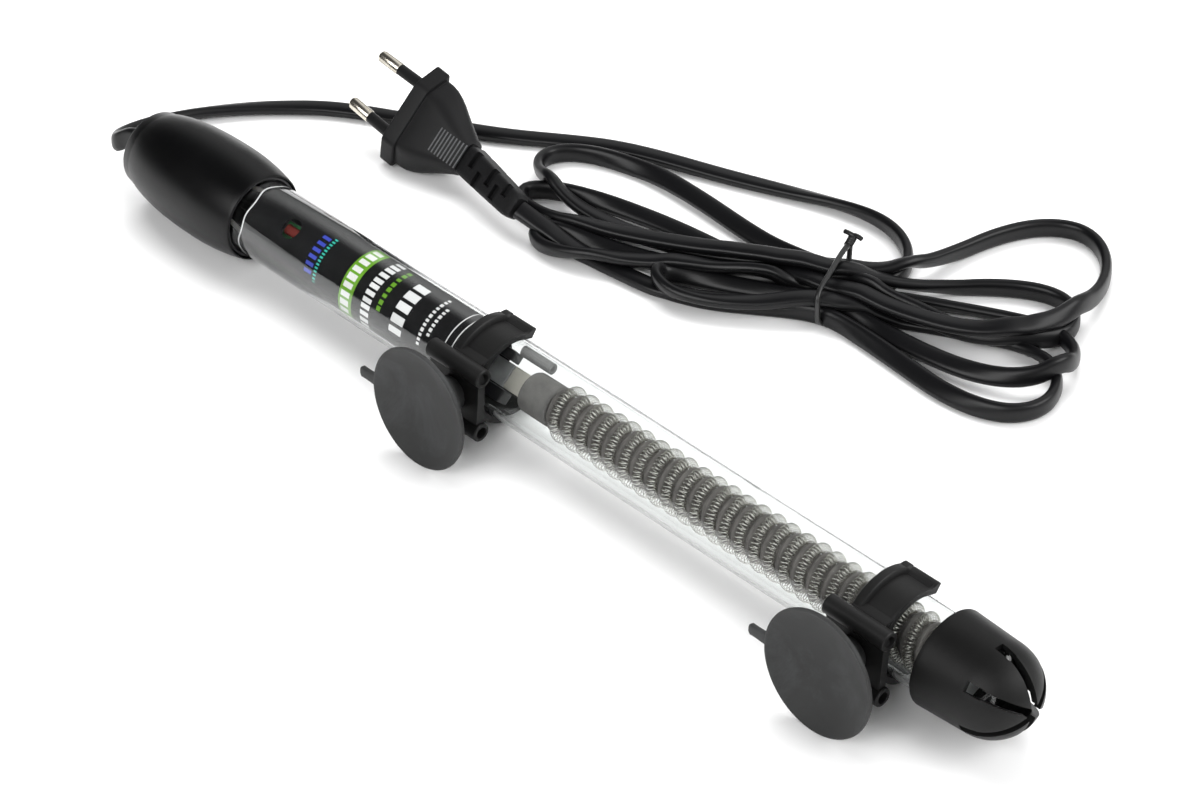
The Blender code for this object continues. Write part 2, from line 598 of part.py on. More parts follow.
def make_plug(shades):
    """The flat two-pin plug, leaning on its lower edge, with its slotted strain relief."""
    place = plug_matrix()
    plug = frame("plug_frame", place)
    body = loft("plug_body", [(z, hexagon(*size)) for z, *size in (
        (0.0, 9.7, 17.1, 6.3, 0.9), (-0.5, 10.3, 17.7, 6.85, 1.2), (-5.0, 10.3, 17.7, 6.85, 1.2),
        (-5.5, 10.1, 17.2, 6.6, 1.2), (-5.7, 9.6, 16.2, 6.4, 1.5), (-10.0, 9.2, 16.4, 6.9, 2.4),
        (-15.0, 8.0, 14.1, 6.8, 2.6), (-19.5, 6.6, 11.2, 6.3, 2.6), (-23.5, 5.3, 8.0, 5.5, 2.2),
        (-PLUG_NECK, 4.6, 6.7, 4.6, 1.8))], shades["black"], plug, Matrix.Identity(4))
    lean = math.degrees(math.atan2(PIN_SPACING[0] - PIN_SPACING[1], PIN_LENGTH))
    for number, side in ((1, 1), (2, -1)):
        tilt = at(x=side * PIN_SPACING[0]) @ Matrix.Rotation(math.radians(-side * lean), 4, "Y")
        tip, bare = PIN_LENGTH, SLEEVE_LENGTH + GAP
        profile = [(tip, 0.0), (tip - 0.2, 1.1), (tip - 1.2, 1.8), (tip - 2.4, PIN_RADIUS),
                   (bare, PIN_RADIUS), (bare, 1.3), (-6.0, 1.3), (-6.0, 0.0)]
        turned(f"plug_pin_{number}", profile, shades["nickel"], 16, False, plug, tilt)
        bar(f"pin_sleeve_{number}", PIN_RADIUS, -5.6, SLEEVE_LENGTH, shades["black"], 1.6, 16, plug, tilt)
        socket = bar(f"plug_socket_{number}", PIN_RADIUS + GAP, -6.4, 4.0, None, steps=16, parent=plug,
                     matrix=tilt, cutter=True)
        boolean(body, socket, "DIFFERENCE")
    neck = place @ (Vector((0, 0, -PLUG_NECK - GAP)) * MM) / MM
    way = (RELIEF_END - neck).normalized()
    across = place.to_3x3().col[0]
    side = (across - way * across.dot(way)).normalized()
    turn = Matrix((side, (-way).cross(side), -way)).transposed().to_4x4()
    reach = (RELIEF_END - neck).length
    loft("plug_strain_relief", [
        (-RELIEF_SETBACK, squared(4.9, 3.4, 4.0)), (-reach * 0.5, squared(4.8, 3.3, 4.0)),
        (-reach, squared(4.2, 2.9, 4.0))], shades["black"], None, Matrix.Translation(neck * MM) @ turn)


def make_cord(axis, shades):
    """The cord inside the cap, its loose stretch, the hank of its loops and the twist tie."""
    bar("inner_cord", CORD_RADIUS, CORD_SPLICE_X + GAP, -149.4, shades["cord"], steps=12, parent=axis,
        matrix=along_x())
    start = [(CORD_SPLICE_X, AXIS_Y, AXIS_Z), (-183.6, AXIS_Y, AXIS_Z)]
    route = smooth_route(start + list(CORD_ROUTE), 8.0)
    wire("cord_lead", route, CORD_RADIUS, shades["cord"], 2)
    middle = (HANK_BOTTOM + HANK_TOP) / 2
    outline("cord_hank", HANK_OUTLINE, (HANK_TOP - HANK_BOTTOM) / 2, shades["cord"], None, at(z=middle))
    points = []
    turn = math.radians(TIE_YAW)
    across = Vector((math.cos(turn), math.sin(turn), 0))
    for i in range(TIE_SIDES):
        angle = math.tau * i / TIE_SIDES
        c, s = math.cos(angle), math.sin(angle)
        wide = math.copysign(abs(c) ** 0.35, c) * TIE_HALF[0]
        high = math.copysign(abs(s) ** 0.35, s) * TIE_HALF[1]
        points.append(TIE_CENTRE + across * wide + Vector((0, 0, high)))
    wire("cord_tie", points, TIE_RADIUS, shades["tie"], 1, closed=True)


def main():
    clear_scene()
    shades = {
        "black": finish("black_plastic", (0.022, 0.022, 0.024), 0.45),
        "cap": finish("cap_plastic", (0.020, 0.020, 0.022), 0.50),
        "rubber": finish("grey_rubber", (0.060, 0.062, 0.066), 0.70),
        "seal": finish("seal_rubber", (0.015, 0.015, 0.016), 0.60),
        "glass": finish("clear_glass", (0.95, 0.97, 0.97), 0.03, 0.0, 1.0),
        "label": finish("printed_film", (0.02, 0.02, 0.022), 0.35),
        "mica": finish("grey_mica", (0.42, 0.43, 0.42), 0.55),
        "cream": finish("cream_board", (0.66, 0.64, 0.56), 0.60),
        "ceramic": finish("grey_ceramic", (0.20, 0.20, 0.19), 0.80),
        "coil": finish("resistance_wire", (0.55, 0.53, 0.49), 0.30, 1.0),
        "brass": finish("brass", (0.70, 0.55, 0.28), 0.30, 1.0),
        "bimetal": finish("bimetal", (0.55, 0.50, 0.44), 0.35, 1.0),
        "silver": finish("contact_silver", (0.80, 0.79, 0.76), 0.25, 1.0),
        "ferrite": finish("ferrite", (0.09, 0.09, 0.10), 0.50),
        "board": finish("green_board", (0.03, 0.20, 0.07), 0.45),
        "lamp": finish("lamp_red", (0.55, 0.06, 0.03), 0.25),
        "sleeve": finish("glass_sleeve", (0.26, 0.27, 0.26), 0.80),
        "lead": finish("lead_wire", (0.60, 0.58, 0.54), 0.40, 1.0),
        "nickel": finish("nickel_plate", (0.72, 0.70, 0.66), 0.22, 1.0),
        "cord": finish("cord_jacket", (0.018, 0.018, 0.020), 0.38),
        "tie": finish("twist_tie", (0.02, 0.02, 0.02), 0.50),
    }
    axis = frame("heater_axis", at(0, AXIS_Y, AXIS_Z))
    inner = frame("thermostat_frame", Matrix.Rotation(math.radians(INNER_TURN), 4, "X"), axis)
    make_cap(axis, shades["cap"])
    make_seal_ring(axis, shades["seal"])
    make_glass(axis, shades["glass"])
    make_stopper(axis, shades["seal"])
    make_gland(axis, shades["black"])
    make_label(axis, shades["label"])
    make_thermostat(inner, shades)
    make_element(axis, shades)
    make_guard(axis, shades["cap"])
    facing = Matrix.Rotation(math.radians(90) - CUP_TILT, 4, "X")
    for number, x in enumerate(BRACKET_X, start=1):
        holder = frame(f"bracket_{number}_frame", at(x=x) @ facing, axis)
        make_bracket(number, holder, shades["black"])
        make_cup(number, holder, shades["rubber"])
    make_plug(shades)
    make_cord(axis, shades)


main()
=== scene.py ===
"""Looks of the submersible aquarium heater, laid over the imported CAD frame.

Lengths are in mm and places are in the frame of the CAD model, apart from the camera and the
lamps, which are in metres. The heater's axis lies along X at (AXIS_Y, AXIS_Z).
"""

import math

import bmesh
import bpy
from mathutils import Matrix, Vector
from mathutils.kdtree import KDTree


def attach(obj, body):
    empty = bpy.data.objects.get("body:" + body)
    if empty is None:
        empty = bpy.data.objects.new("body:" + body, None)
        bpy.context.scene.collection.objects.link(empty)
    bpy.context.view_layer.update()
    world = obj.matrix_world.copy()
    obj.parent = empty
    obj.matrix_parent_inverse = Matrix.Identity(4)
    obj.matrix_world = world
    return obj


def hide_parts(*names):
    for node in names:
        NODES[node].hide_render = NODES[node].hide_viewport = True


MM = 0.001
AXIS_Y, AXIS_Z = 8.06, 16.2
HALF_LENGTH = 181.0
TUBE_RADIUS, TUBE_INNER_RADIUS = 12.0, 10.8
CUP_TILT = math.radians(4.341)
BRACKET_X = (-19.3, 133.8)

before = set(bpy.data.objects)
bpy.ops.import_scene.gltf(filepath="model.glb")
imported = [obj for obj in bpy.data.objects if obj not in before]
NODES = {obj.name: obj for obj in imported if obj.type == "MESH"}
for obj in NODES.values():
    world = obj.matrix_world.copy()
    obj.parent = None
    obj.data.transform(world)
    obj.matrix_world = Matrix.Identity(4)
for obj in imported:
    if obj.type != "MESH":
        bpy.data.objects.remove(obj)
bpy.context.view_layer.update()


# ---------------- camera
def make_camera():
    """The view from above and beyond the guarded end, as in the picture."""
    data = bpy.data.cameras.new("camera")
    data.lens = 111.53
    data.sensor_width = 36.0
    data.clip_start = 0.01
    camera = bpy.data.objects.new("camera", data)
    bpy.context.scene.collection.objects.link(camera)
    azimuth, elevation = math.radians(45.853), math.radians(38.087)
    back = Vector((math.sin(azimuth) * math.cos(elevation), -math.cos(azimuth) * math.cos(elevation),
                   math.sin(elevation)))
    right = Vector((math.cos(azimuth), math.sin(azimuth), 0.0))
    turn = Matrix((right, back.cross(right), back)).transposed().to_4x4()
    camera.matrix_world = Matrix.Translation((0.60265, -0.55518, 0.66225)) @ turn
    bpy.context.scene.camera = camera


make_camera()


# ---------------- materials
def links(material):
    """The node tree, its Principled shader and a helper that adds a node."""
    tree = material.node_tree

    def new(kind, **inputs):
        node = tree.nodes.new(kind)
        for key, value in inputs.items():
            node.inputs[key].default_value = value
        return node
    return tree, tree.nodes["Principled BSDF"], new


def ramp(tree, low, low_colour, high, high_colour):
    """A node that blends from one colour to another between two positions."""
    node = tree.nodes.new("ShaderNodeValToRGB")
    for end, position, colour in ((0, low, low_colour), (1, high, high_colour)):
        node.color_ramp.elements[end].position = position
        node.color_ramp.elements[end].color = (*colour, 1)
    return node


def look(name, colour, rough, metallic=0.0, grain=2500.0, bump=0.06, spread=0.10, rough_spread=0.08,
         patch=60.0, coat=0.0, specular=0.5, stretch=(1.0, 1.0, 1.0)):
    """A surface with fine grain in its bump, and broad uneven colour and gloss."""
    material = bpy.data.materials.new(name)
    material.use_nodes = True
    tree, shader, new = links(material)
    shader.inputs["Metallic"].default_value = metallic
    shader.inputs["Coat Weight"].default_value = coat
    shader.inputs["Coat Roughness"].default_value = 0.25
    shader.inputs["Specular IOR Level"].default_value = specular
    place = new("ShaderNodeTexCoord")
    scaled = new("ShaderNodeMapping")
    scaled.inputs["Scale"].default_value = stretch
    tree.links.new(place.outputs["Object"], scaled.inputs["Vector"])
    fine = new("ShaderNodeTexNoise", Scale=grain, Detail=3.0, Roughness=0.6)
    broad = new("ShaderNodeTexNoise", Scale=patch, Detail=4.0, Roughness=0.55)
    for node in (fine, broad):
        tree.links.new(scaled.outputs["Vector"], node.inputs["Vector"])
    low = [max(c * (1 - spread), 0.0) for c in colour]
    high = [min(c * (1 + spread), 1.0) for c in colour]
    shade = ramp(tree, 0.3, low, 0.7, high)
    tree.links.new(broad.outputs["Fac"], shade.inputs["Fac"])
    tree.links.new(shade.outputs["Color"], shader.inputs["Base Color"])
    gloss = new("ShaderNodeMapRange")
    gloss.inputs["To Min"].default_value = max(rough - rough_spread, 0.02)
    gloss.inputs["To Max"].default_value = min(rough + rough_spread, 1.0)
    tree.links.new(broad.outputs["Fac"], gloss.inputs["Value"])
    tree.links.new(gloss.outputs["Result"], shader.inputs["Roughness"])
    relief = new("ShaderNodeBump", Strength=bump, Distance=0.0002)
    tree.links.new(fine.outputs["Fac"], relief.inputs["Height"])
    tree.links.new(relief.outputs["Normal"], shader.inputs["Normal"])
    return material


def bloom(material, colour, scale, amount):
    """Add a patchy pale bloom, as on old rubber, over a look()."""
    tree, shader, new = links(material)
    source = shader.inputs["Base Color"].links[0].from_socket
    place = new("ShaderNodeTexCoord")
    cloud = new("ShaderNodeTexNoise", Scale=scale, Detail=6.0, Roughness=0.7, Distortion=0.6)
    tree.links.new(place.outputs["Object"], cloud.inputs["Vector"])
    amount_ramp = ramp(tree, 0.48, (0, 0, 0), 0.72, (amount, amount, amount))
    tree.links.new(cloud.outputs["Fac"], amount_ramp.inputs["Fac"])
    mix = new("ShaderNodeMix")
    mix.data_type = "RGBA"
    mix.inputs["B"].default_value = (*colour, 1)
    tree.links.new(amount_ramp.outputs["Color"], mix.inputs["Factor"])
    tree.links.new(source, mix.inputs["A"])
    tree.links.new(mix.outputs["Result"], shader.inputs["Base Color"])
    return material


def clear_glass(name):
    """Clear tube glass that lets lamp light through, with faint draw lines."""
    material = bpy.data.materials.new(name)
    material.use_nodes = True
    tree, shader, new = links(material)
    shader.inputs["Base Color"].default_value = (0.94, 0.955, 0.95, 1)
    shader.inputs["Transmission Weight"].default_value = 1.0
    shader.inputs["IOR"].default_value = 1.47
    place = new("ShaderNodeTexCoord")
    scaled = new("ShaderNodeMapping")
    scaled.inputs["Scale"].default_value = (4.0, 60.0, 60.0)
    wander = new("ShaderNodeTexNoise", Scale=6.0, Detail=2.0)
    tree.links.new(place.outputs["Object"], scaled.inputs["Vector"])
    tree.links.new(scaled.outputs["Vector"], wander.inputs["Vector"])
    relief = new("ShaderNodeBump", Strength=0.002, Distance=0.0005)
    tree.links.new(wander.outputs["Fac"], relief.inputs["Height"])
    tree.links.new(relief.outputs["Normal"], shader.inputs["Normal"])
    smear = new("ShaderNodeMapRange")
    smear.inputs["To Min"].default_value = 0.0
    smear.inputs["To Max"].default_value = 0.03
    tree.links.new(wander.outputs["Fac"], smear.inputs["Value"])
    tree.links.new(smear.outputs["Result"], shader.inputs["Roughness"])
    ray = new("ShaderNodeLightPath")
    open_share = new("ShaderNodeMath")
    open_share.operation = "MULTIPLY_ADD"
    open_share.inputs[1].default_value = -0.92
    open_share.inputs[2].default_value = 1.0
    tree.links.new(ray.outputs["Is Shadow Ray"], open_share.inputs[0])
    tree.links.new(open_share.outputs[0], shader.inputs["Alpha"])
    return material


BLACK = look("satin_black_plastic", (0.0080, 0.0080, 0.0084), 0.44, grain=4200, bump=0.30, specular=0.16)
# Pale grey for the plug's raised grip lines: a painted highlight for the gloss along the grooves, with broad
# uneven patches.
PAINTED_GRIP_HIGHLIGHT = look("grip_line_painted_highlight", (0.085, 0.087, 0.090), 0.50, grain=3000, bump=0.15, spread=0.25,
                 patch=400)
BRACKET_BLACK = look("bracket_black_plastic", (0.0105, 0.0105, 0.0105), 0.40, grain=2600, bump=0.10,
                     specular=0.20)
CAP_BLACK = look("cap_black_plastic", (0.0016, 0.0016, 0.0018), 0.33, grain=5200, bump=0.20, specular=0.22)
# The guard is the cap's plastic, coloured lighter than the cap as painted light for the front light that
# falls on it.
GUARD_PAINTED_LIGHTER = look("cap_plastic_painted_lighter_on_guard", (0.005, 0.005, 0.005), 0.44, grain=5200, bump=0.25, specular=0.20)
RUBBER = bloom(look("cup_rubber", (0.029, 0.0295, 0.0295), 0.55, grain=1500, bump=0.10, spread=0.2,
                    patch=45, specular=0.22), (0.060, 0.062, 0.065), 55.0, 0.5)
SEAL = look("seal_rubber", (0.010, 0.010, 0.011), 0.5, grain=1800, bump=0.1)
JACKET = look("cord_jacket", (0.004, 0.004, 0.0045), 0.33, grain=1400, bump=0.05, patch=25,
              rough_spread=0.05, specular=0.26)
GLASS = clear_glass("clear_glass")
FILM = look("label_black_film", (0.004, 0.004, 0.0045), 0.45, grain=900, bump=0.02, specular=0.15)
FILM_GREEN = look("label_green", (0.115, 0.30, 0.012), 0.38, grain=900, bump=0.02)
FILM_WHITE = look("label_white", (0.66, 0.66, 0.66), 0.40, grain=900, bump=0.02, spread=0.03)
FILM_BLUE = look("label_blue", (0.03, 0.05, 0.38), 0.40, grain=900, bump=0.02)
FILM_TEAL = look("label_teal", (0.02, 0.42, 0.33), 0.40, grain=900, bump=0.02)
CERAMIC = look("grey_ceramic", (0.105, 0.102, 0.098), 0.80, grain=2600, bump=0.45, spread=0.25, patch=180)
CORE = look("dark_core_ceramic", (0.085, 0.080, 0.075), 0.75, grain=2600, bump=0.4, spread=0.3, patch=220)
COIL = look("resistance_wire", (0.86, 0.84, 0.78), 0.22, metallic=1.0, grain=5000, bump=0.05, spread=0.2,
            patch=400)
NICKEL = look("nickel_plate", (0.66, 0.62, 0.54), 0.22, metallic=1.0, grain=3000, bump=0.015, spread=0.06,
              stretch=(1.0, 6.0, 6.0))
BRASS = look("brass", (0.66, 0.50, 0.24), 0.32, metallic=1.0, grain=3000, bump=0.06)
STRIP = look("bimetal_strip", (0.50, 0.46, 0.41), 0.36, metallic=1.0, grain=3000, bump=0.1,
             stretch=(0.1, 1.0, 1.0))
SILVER = look("contact_silver", (0.80, 0.79, 0.76), 0.22, metallic=1.0, grain=3000, bump=0.04)
TINNED = look("tinned_wire", (0.60, 0.58, 0.54), 0.38, metallic=1.0, grain=3000, bump=0.08)
MICA = look("grey_mica", (0.36, 0.37, 0.37), 0.50, grain=1500, bump=0.15, spread=0.15, patch=150)
CREAM = look("cream_board", (0.60, 0.585, 0.52), 0.60, grain=2200, bump=0.2, spread=0.06)
FERRITE = look("ferrite", (0.05, 0.05, 0.055), 0.55, grain=2500, bump=0.3)
BOARD = look("green_board", (0.05, 0.30, 0.10), 0.42, grain=1200, bump=0.1, spread=0.3, patch=500)
LAMP = look("red_lamp", (0.16, 0.03, 0.025), 0.15, grain=800, bump=0.02, coat=0.5)
lamp_shader = LAMP.node_tree.nodes["Principled BSDF"]
lamp_shader.inputs["Emission Color"].default_value = (0.9, 0.10, 0.05, 1)
lamp_shader.inputs["Emission Strength"].default_value = 0.03
SLEEVE = look("glass_fibre_sleeve", (0.115, 0.118, 0.115), 0.85, grain=2400, bump=0.6, spread=0.2, patch=900,
              stretch=(0.6, 2.0, 2.0))
PARTS_BLACK = look("black_component", (0.010, 0.010, 0.011), 0.38, grain=1500, bump=0.08)
TIE = look("twist_tie_plastic", (0.010, 0.010, 0.010), 0.36, grain=2000, bump=0.12)


# ---------------- mesh helpers
def plain(name, points, faces):
    """A bare object from points in mm, such as a cutter."""
    mesh = bpy.data.meshes.new(name)
    mesh.from_pydata([(x * MM, y * MM, z * MM) for x, y, z in points], [], faces)
    made = bpy.data.objects.new(name, mesh)
    bpy.context.scene.collection.objects.link(made)
    return made


def piece(name, points, faces, materials, body="heater", slot=None, smooth=35.0, slots=None, replaces=()):
    """A finished piece; slots gives each face its material's number."""
    made = plain(name, points, faces)
    mesh = made.data
    for material in materials:
        mesh.materials.append(material)
    if slots:
        mesh.polygons.foreach_set("material_index", slots)
    shape = bmesh.new()
    shape.from_mesh(mesh)
    bmesh.ops.recalc_face_normals(shape, faces=shape.faces)
    shape.to_mesh(mesh)
    shape.free()
    mesh.shade_smooth()
    mesh.set_sharp_from_angle(angle=math.radians(smooth))
    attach(made, body)
    if replaces:
        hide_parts(*replaces)
    return made


def tube_faces(rings, around, closed_along=False, caps=False):
    """Faces of a grid of rings, each with the same number of points around."""
    faces = []
    for i in range(rings if closed_along else rings - 1):
        a, b = i * around, ((i + 1) % rings) * around
        for j in range(around):
            k = (j + 1) % around
            faces.append((a + j, a + k, b + k, b + j))
    if caps:
        faces.append(tuple(range(around - 1, -1, -1)))
        faces.append(tuple((rings - 1) * around + j for j in range(around)))
    return faces


def lathe_points(profile, steps, place):
    """Rings of points for a profile of (along, radius); place maps (along, across, up)."""
    points = []
    for along, radius in profile:
        for j in range(steps):
            turn = math.tau * j / steps
            points.append(place(along, radius * math.cos(turn), radius * math.sin(turn)))
    return points


def on_axis(along, across, up):
    """A place about the heater's axis: along X, then across Y and Z."""
    return (along, AXIS_Y + across, AXIS_Z + up)


def lathe(name, profile, material, steps=96, place=on_axis, closed=True, **keys):
    """A turned piece whose profile closes on itself, or runs from tip to tip."""
    points = lathe_points(profile, steps, place)
    faces = tube_faces(len(profile), steps, closed_along=closed, caps=not closed)
    return piece(name, points, faces, [material], **keys)


def smooth_line(points, spacing):
    """Even points on a smooth curve through the given ones; extra values follow along."""
    knots = [Vector(p) for p in points]
    knots = [2 * knots[0] - knots[1]] + knots + [2 * knots[-1] - knots[-2]]
    fine = []
    for before, start, end, after in zip(knots, knots[1:], knots[2:], knots[3:]):
        for i in range(24):
            t = i / 24
            fine.append(0.5 * (2 * start + (end - before) * t
                               + (2 * before - 5 * start + 4 * end - after) * t ** 2
                               + (3 * start - before - 3 * end + after) * t ** 3))
    fine.append(knots[-2])
    lengths = [0.0]
    for a, b in zip(fine, fine[1:]):
        lengths.append(lengths[-1] + (b.xyz - a.xyz).length)
    count = max(2, round(lengths[-1] / spacing))
    line, j = [], 0
    for i in range(count + 1):
        target = lengths[-1] * i / count
        while j < len(fine) - 2 and lengths[j + 1] < target:
            j += 1
        part = (target - lengths[j]) / max(lengths[j + 1] - lengths[j], 1e-9)
        line.append(fine[j].lerp(fine[j + 1], min(max(part, 0.0), 1.0)))
    return line


def union(name, pieces, material, bevel=0.0, **keys):
    """Join closed meshes into one piece, keeping each part's own faces."""
    points, faces = [], []
    for part_points, part_faces in pieces:
        base = len(points)
        points += part_points
        faces += [tuple(base + i for i in face) for face in part_faces]
    made = piece(name, points, faces, [material], **keys)
    if bevel:
        edge = made.modifiers.new("edges", "BEVEL")
        edge.width = bevel * MM
        edge.segments = 2
        edge.limit_method = "ANGLE"
        edge.angle_limit = math.radians(40)
    return made


def cut(made, cutters):
    """Take the cutters out of a piece for good, and remove them."""
    for i, cutter in enumerate(cutters):
        step = made.modifiers.new(f"cut_{i}", "BOOLEAN")
        step.operation = "DIFFERENCE"
        step.object = cutter
        step.solver = "EXACT"
    bpy.context.view_layer.update()
    seen = made.evaluated_get(bpy.context.evaluated_depsgraph_get())
    mesh = bpy.data.meshes.new_from_object(seen)
    made.modifiers.clear()
    made.data = mesh
    for cutter in cutters:
        bpy.data.objects.remove(cutter, do_unlink=True)
    return made


# ---------------- the cord
CORD_WIDE, CORD_THICK = 3.0, 1.8        # half of the flat cord's width and thickness
TIE_MIDDLE = Vector((10.5, 116.5, 7.2))
TIE_ACROSS = Vector((-0.4226, 0.9063, 0.0))


def through_tie(across, up, roll):
    """A place in the waist of the hank, where the tie holds the strands."""
    spot = TIE_MIDDLE + TIE_ACROSS * across
    return (spot.x, spot.y, up, roll)


# Places along the cord from the cap to the plug. The fourth value is the roll: 0 lies flat
# and 1 stands on edge.
CORD_ROUTE = (
    (-181.2, AXIS_Y, AXIS_Z, 1), (-183.6, AXIS_Y, AXIS_Z, 1), (-187, 7.6, 14.6, 1),
    (-190, 6.9, 12.4, 1), (-193.2, 6.5, 10.2, 1), (-196.6, 8.2, 8.8, 1),
    (-199, 12.9, 8, 0.95), (-200.8, 20.3, 7, 0.85), (-201.5, 28.3, 5.7, 0.7),
    (-199.6, 37.6, 4.3, 0.5), (-194.8, 47.4, 3, 0.3), (-188.4, 56.6, 2.3, 0.15),
    (-181.5, 64.5, 2, 0.05), (-172.5, 73.5, 1.9, 0), (-163.3, 79.8, 1.9, 0),
    (-151.3, 86.6, 1.9, 0),
    (-139.3, 93.4, 1.9, 0), (-126.3, 100.6, 1.9, 0), (-116.3, 107, 1.9, 0),
    (-104.3, 116, 1.9, 0), (-91.3, 124.8, 1.9, 0), (-76.3, 131.2, 1.9, 0),
    (-56.3, 138.1, 1.9, 0), (-36.3, 146.1, 1.9, 0.1), (-21.3, 151.9, 2.2, 0.4),
    (-6.3, 154.6, 2.8, 0.8), (5.2, 152.6, 3.1, 1), (14.5, 146.5, 3.1, 1),
    (20.5, 136.5, 3.4, 1), (17.5, 127.5, 4.4, 1), through_tie(9.5, 4.8, 0.9),
    # First loop on the left, over the loose stretch.
    (-21, 121, 5.4, 0.4), (-51, 122.5, 6.2, 0.2), (-71, 122.5, 6.2, 0.4),
    (-86, 118.5, 5.4, 0.8), (-96, 114, 4.6, 1), (-102.5, 107, 4.2, 1),
    (-101.5, 100.5, 4.4, 1), (-95, 95, 5, 0.9), (-85, 92, 5.4, 0.5),
    (-72, 91.5, 5.4, 0.2), (-54, 95, 5.2, 0), (-34, 101.5, 5.4, 0),
    (-12, 111, 8.2, 0), through_tie(9, 9.7, 0),
    # First loop on the right, the largest and the topmost.
    (17.5, 133, 8.2, 0.2), (21.5, 146, 6.6, 0.7), (23, 160, 5, 1),
    (25.5, 174, 4, 1), (31, 186.5, 3.6, 1), (40, 194, 3.5, 1),
    (48.5, 193.5, 3.6, 1), (57, 188, 4, 1), (65, 176.5, 5, 1),
    (69.5, 163, 6.8, 0.9), (70.5, 150, 9, 0.6), (66.5, 138, 10.6, 0.3),
    (57, 128.5, 10.8, 0), (42, 121.5, 10.4, 0), (26, 117.5, 10, 0),
    through_tie(-3, 9.8, 0),
    # Second loop on the left.
    (-2, 111.5, 7.4, 0), (-21, 109.5, 3.6, 0.2), (-46, 107, 2.1, 0.2),
    (-66, 102.5, 2.1, 0.3), (-80, 97, 2.8, 0.8), (-91, 91, 3.4, 1),
    (-94.5, 86, 4, 1), (-90.5, 82, 5.2, 1), (-81, 81, 7.2, 0.7),
    (-70, 83.5, 8.6, 0.3), (-55, 89, 9, 0), (-38, 97, 9.2, 0),
    (-18, 106.5, 9.4, 0), through_tie(3, 9.7, 0),
    # Second loop on the right.
    (23, 131, 7.6, 0.3), (32, 142.5, 5, 0.7), (42, 153, 3.8, 1),
    (53, 161.5, 3.4, 1), (63.5, 163.5, 3.3, 1), (71.5, 157.5, 3.3, 1),
    (72.5, 148, 3.4, 0.9), (66.5, 137.5, 4.4, 0.6), (54, 129, 5.6, 0.5),
    (34, 123.5, 5.2, 0.8), through_tie(4.5, 4.8, 1),
    # Third loop on the left.
    (-7, 106.5, 4, 0.7), (-24, 97.5, 3, 0.3), (-40, 90, 2.4, 0.2),
    (-54, 84.5, 2.4, 0.3), (-66, 81.5, 3, 0.7), (-74.5, 79, 3.6, 1),
    (-76, 73.5, 4.4, 1), (-69, 69.8, 5.2, 0.9), (-58, 73, 6.4, 0.5),
    (-43, 82, 7.2, 0.1), (-27, 93, 7, 0.1), (-10, 104.5, 5.8, 0.6),
    through_tie(0, 4.8, 1),
    # Third loop on the right.
    (26, 128, 4.2, 0.8), (40, 137.5, 3.4, 0.5), (54, 145.5, 2.4, 0.4),
    (66, 149.5, 2.8, 0.7), (75.5, 149, 3.2, 1), (83, 143.5, 3.4, 1),
    (86, 136, 3.8, 1), (84, 128, 4.8, 1), (76.5, 120.5, 6.2, 0.7),
    (64, 115.5, 7.2, 0.3), (48, 113.5, 7, 0.1), (29, 113, 5.8, 0.5),
    through_tie(-4.5, 4.8, 1),
    # Fourth loop on the left, the shortest.
    (3, 106, 4.4, 0.6), (-9, 101, 5, 0.3), (-20, 95, 5.2, 0.4),
    (-29, 90, 4.4, 0.9), (-33.5, 85, 4.6, 1), (-31, 80.5, 6, 1),
    (-23, 79, 7.2, 0.7), (-11, 84.5, 8, 0.2), (3, 96, 9.2, 0),
    through_tie(-8.8, 9.7, 0),
    # Fourth loop on the right, under the others.
    (27, 118, 6.2, 0), (40, 126, 2.6, 0), (54, 133, 2, 0),
    (68, 138.5, 2.2, 0.3), (80, 137, 3, 0.9), (87.5, 129.5, 3.2, 1),
    (91, 120.5, 3.2, 1), (88, 111.5, 3.2, 1), (79, 106, 2.8, 0.8),
    (65, 104.5, 2.2, 0.4), (49, 106, 2.4, 0.3), (30, 107, 3.8, 0.7),
    through_tie(-11, 4.8, 1),
    # Last stretch, to the plug's strain relief.
    (-2, 95.5, 3.6, 0.6), (-16, 86.5, 2.2, 0.1), (-31, 81, 2, 0),
    (-46, 79, 2, 0), (-58, 77.5, 2.8, 0), (-69, 75.5, 5.4, 0.1),
    (-80.1, 73.2, 9, 0.3),
)


def cord_frames(line):
    """For each place on the cord: its direction, its wide side and its thin side."""
    frames = []
    for i, spot in enumerate(line):
        before, after = line[max(i - 1, 0)].xyz, line[min(i + 1, len(line) - 1)].xyz
        way = (after - before).normalized()
        level = way.cross(Vector((0, 0, 1))).normalized()
        upward = level.cross(way)
        turn = math.pi / 2 * min(max(spot.w, 0.0), 1.0)
        wide = level * math.cos(turn) + upward * math.sin(turn)
        frames.append((way, wide, way.cross(wide)))
    return frames


def reach(axes, way):
    """Half of the cord's extent in a direction."""
    return math.hypot(CORD_WIDE * way.dot(axes[1]), CORD_THICK * way.dot(axes[2]))


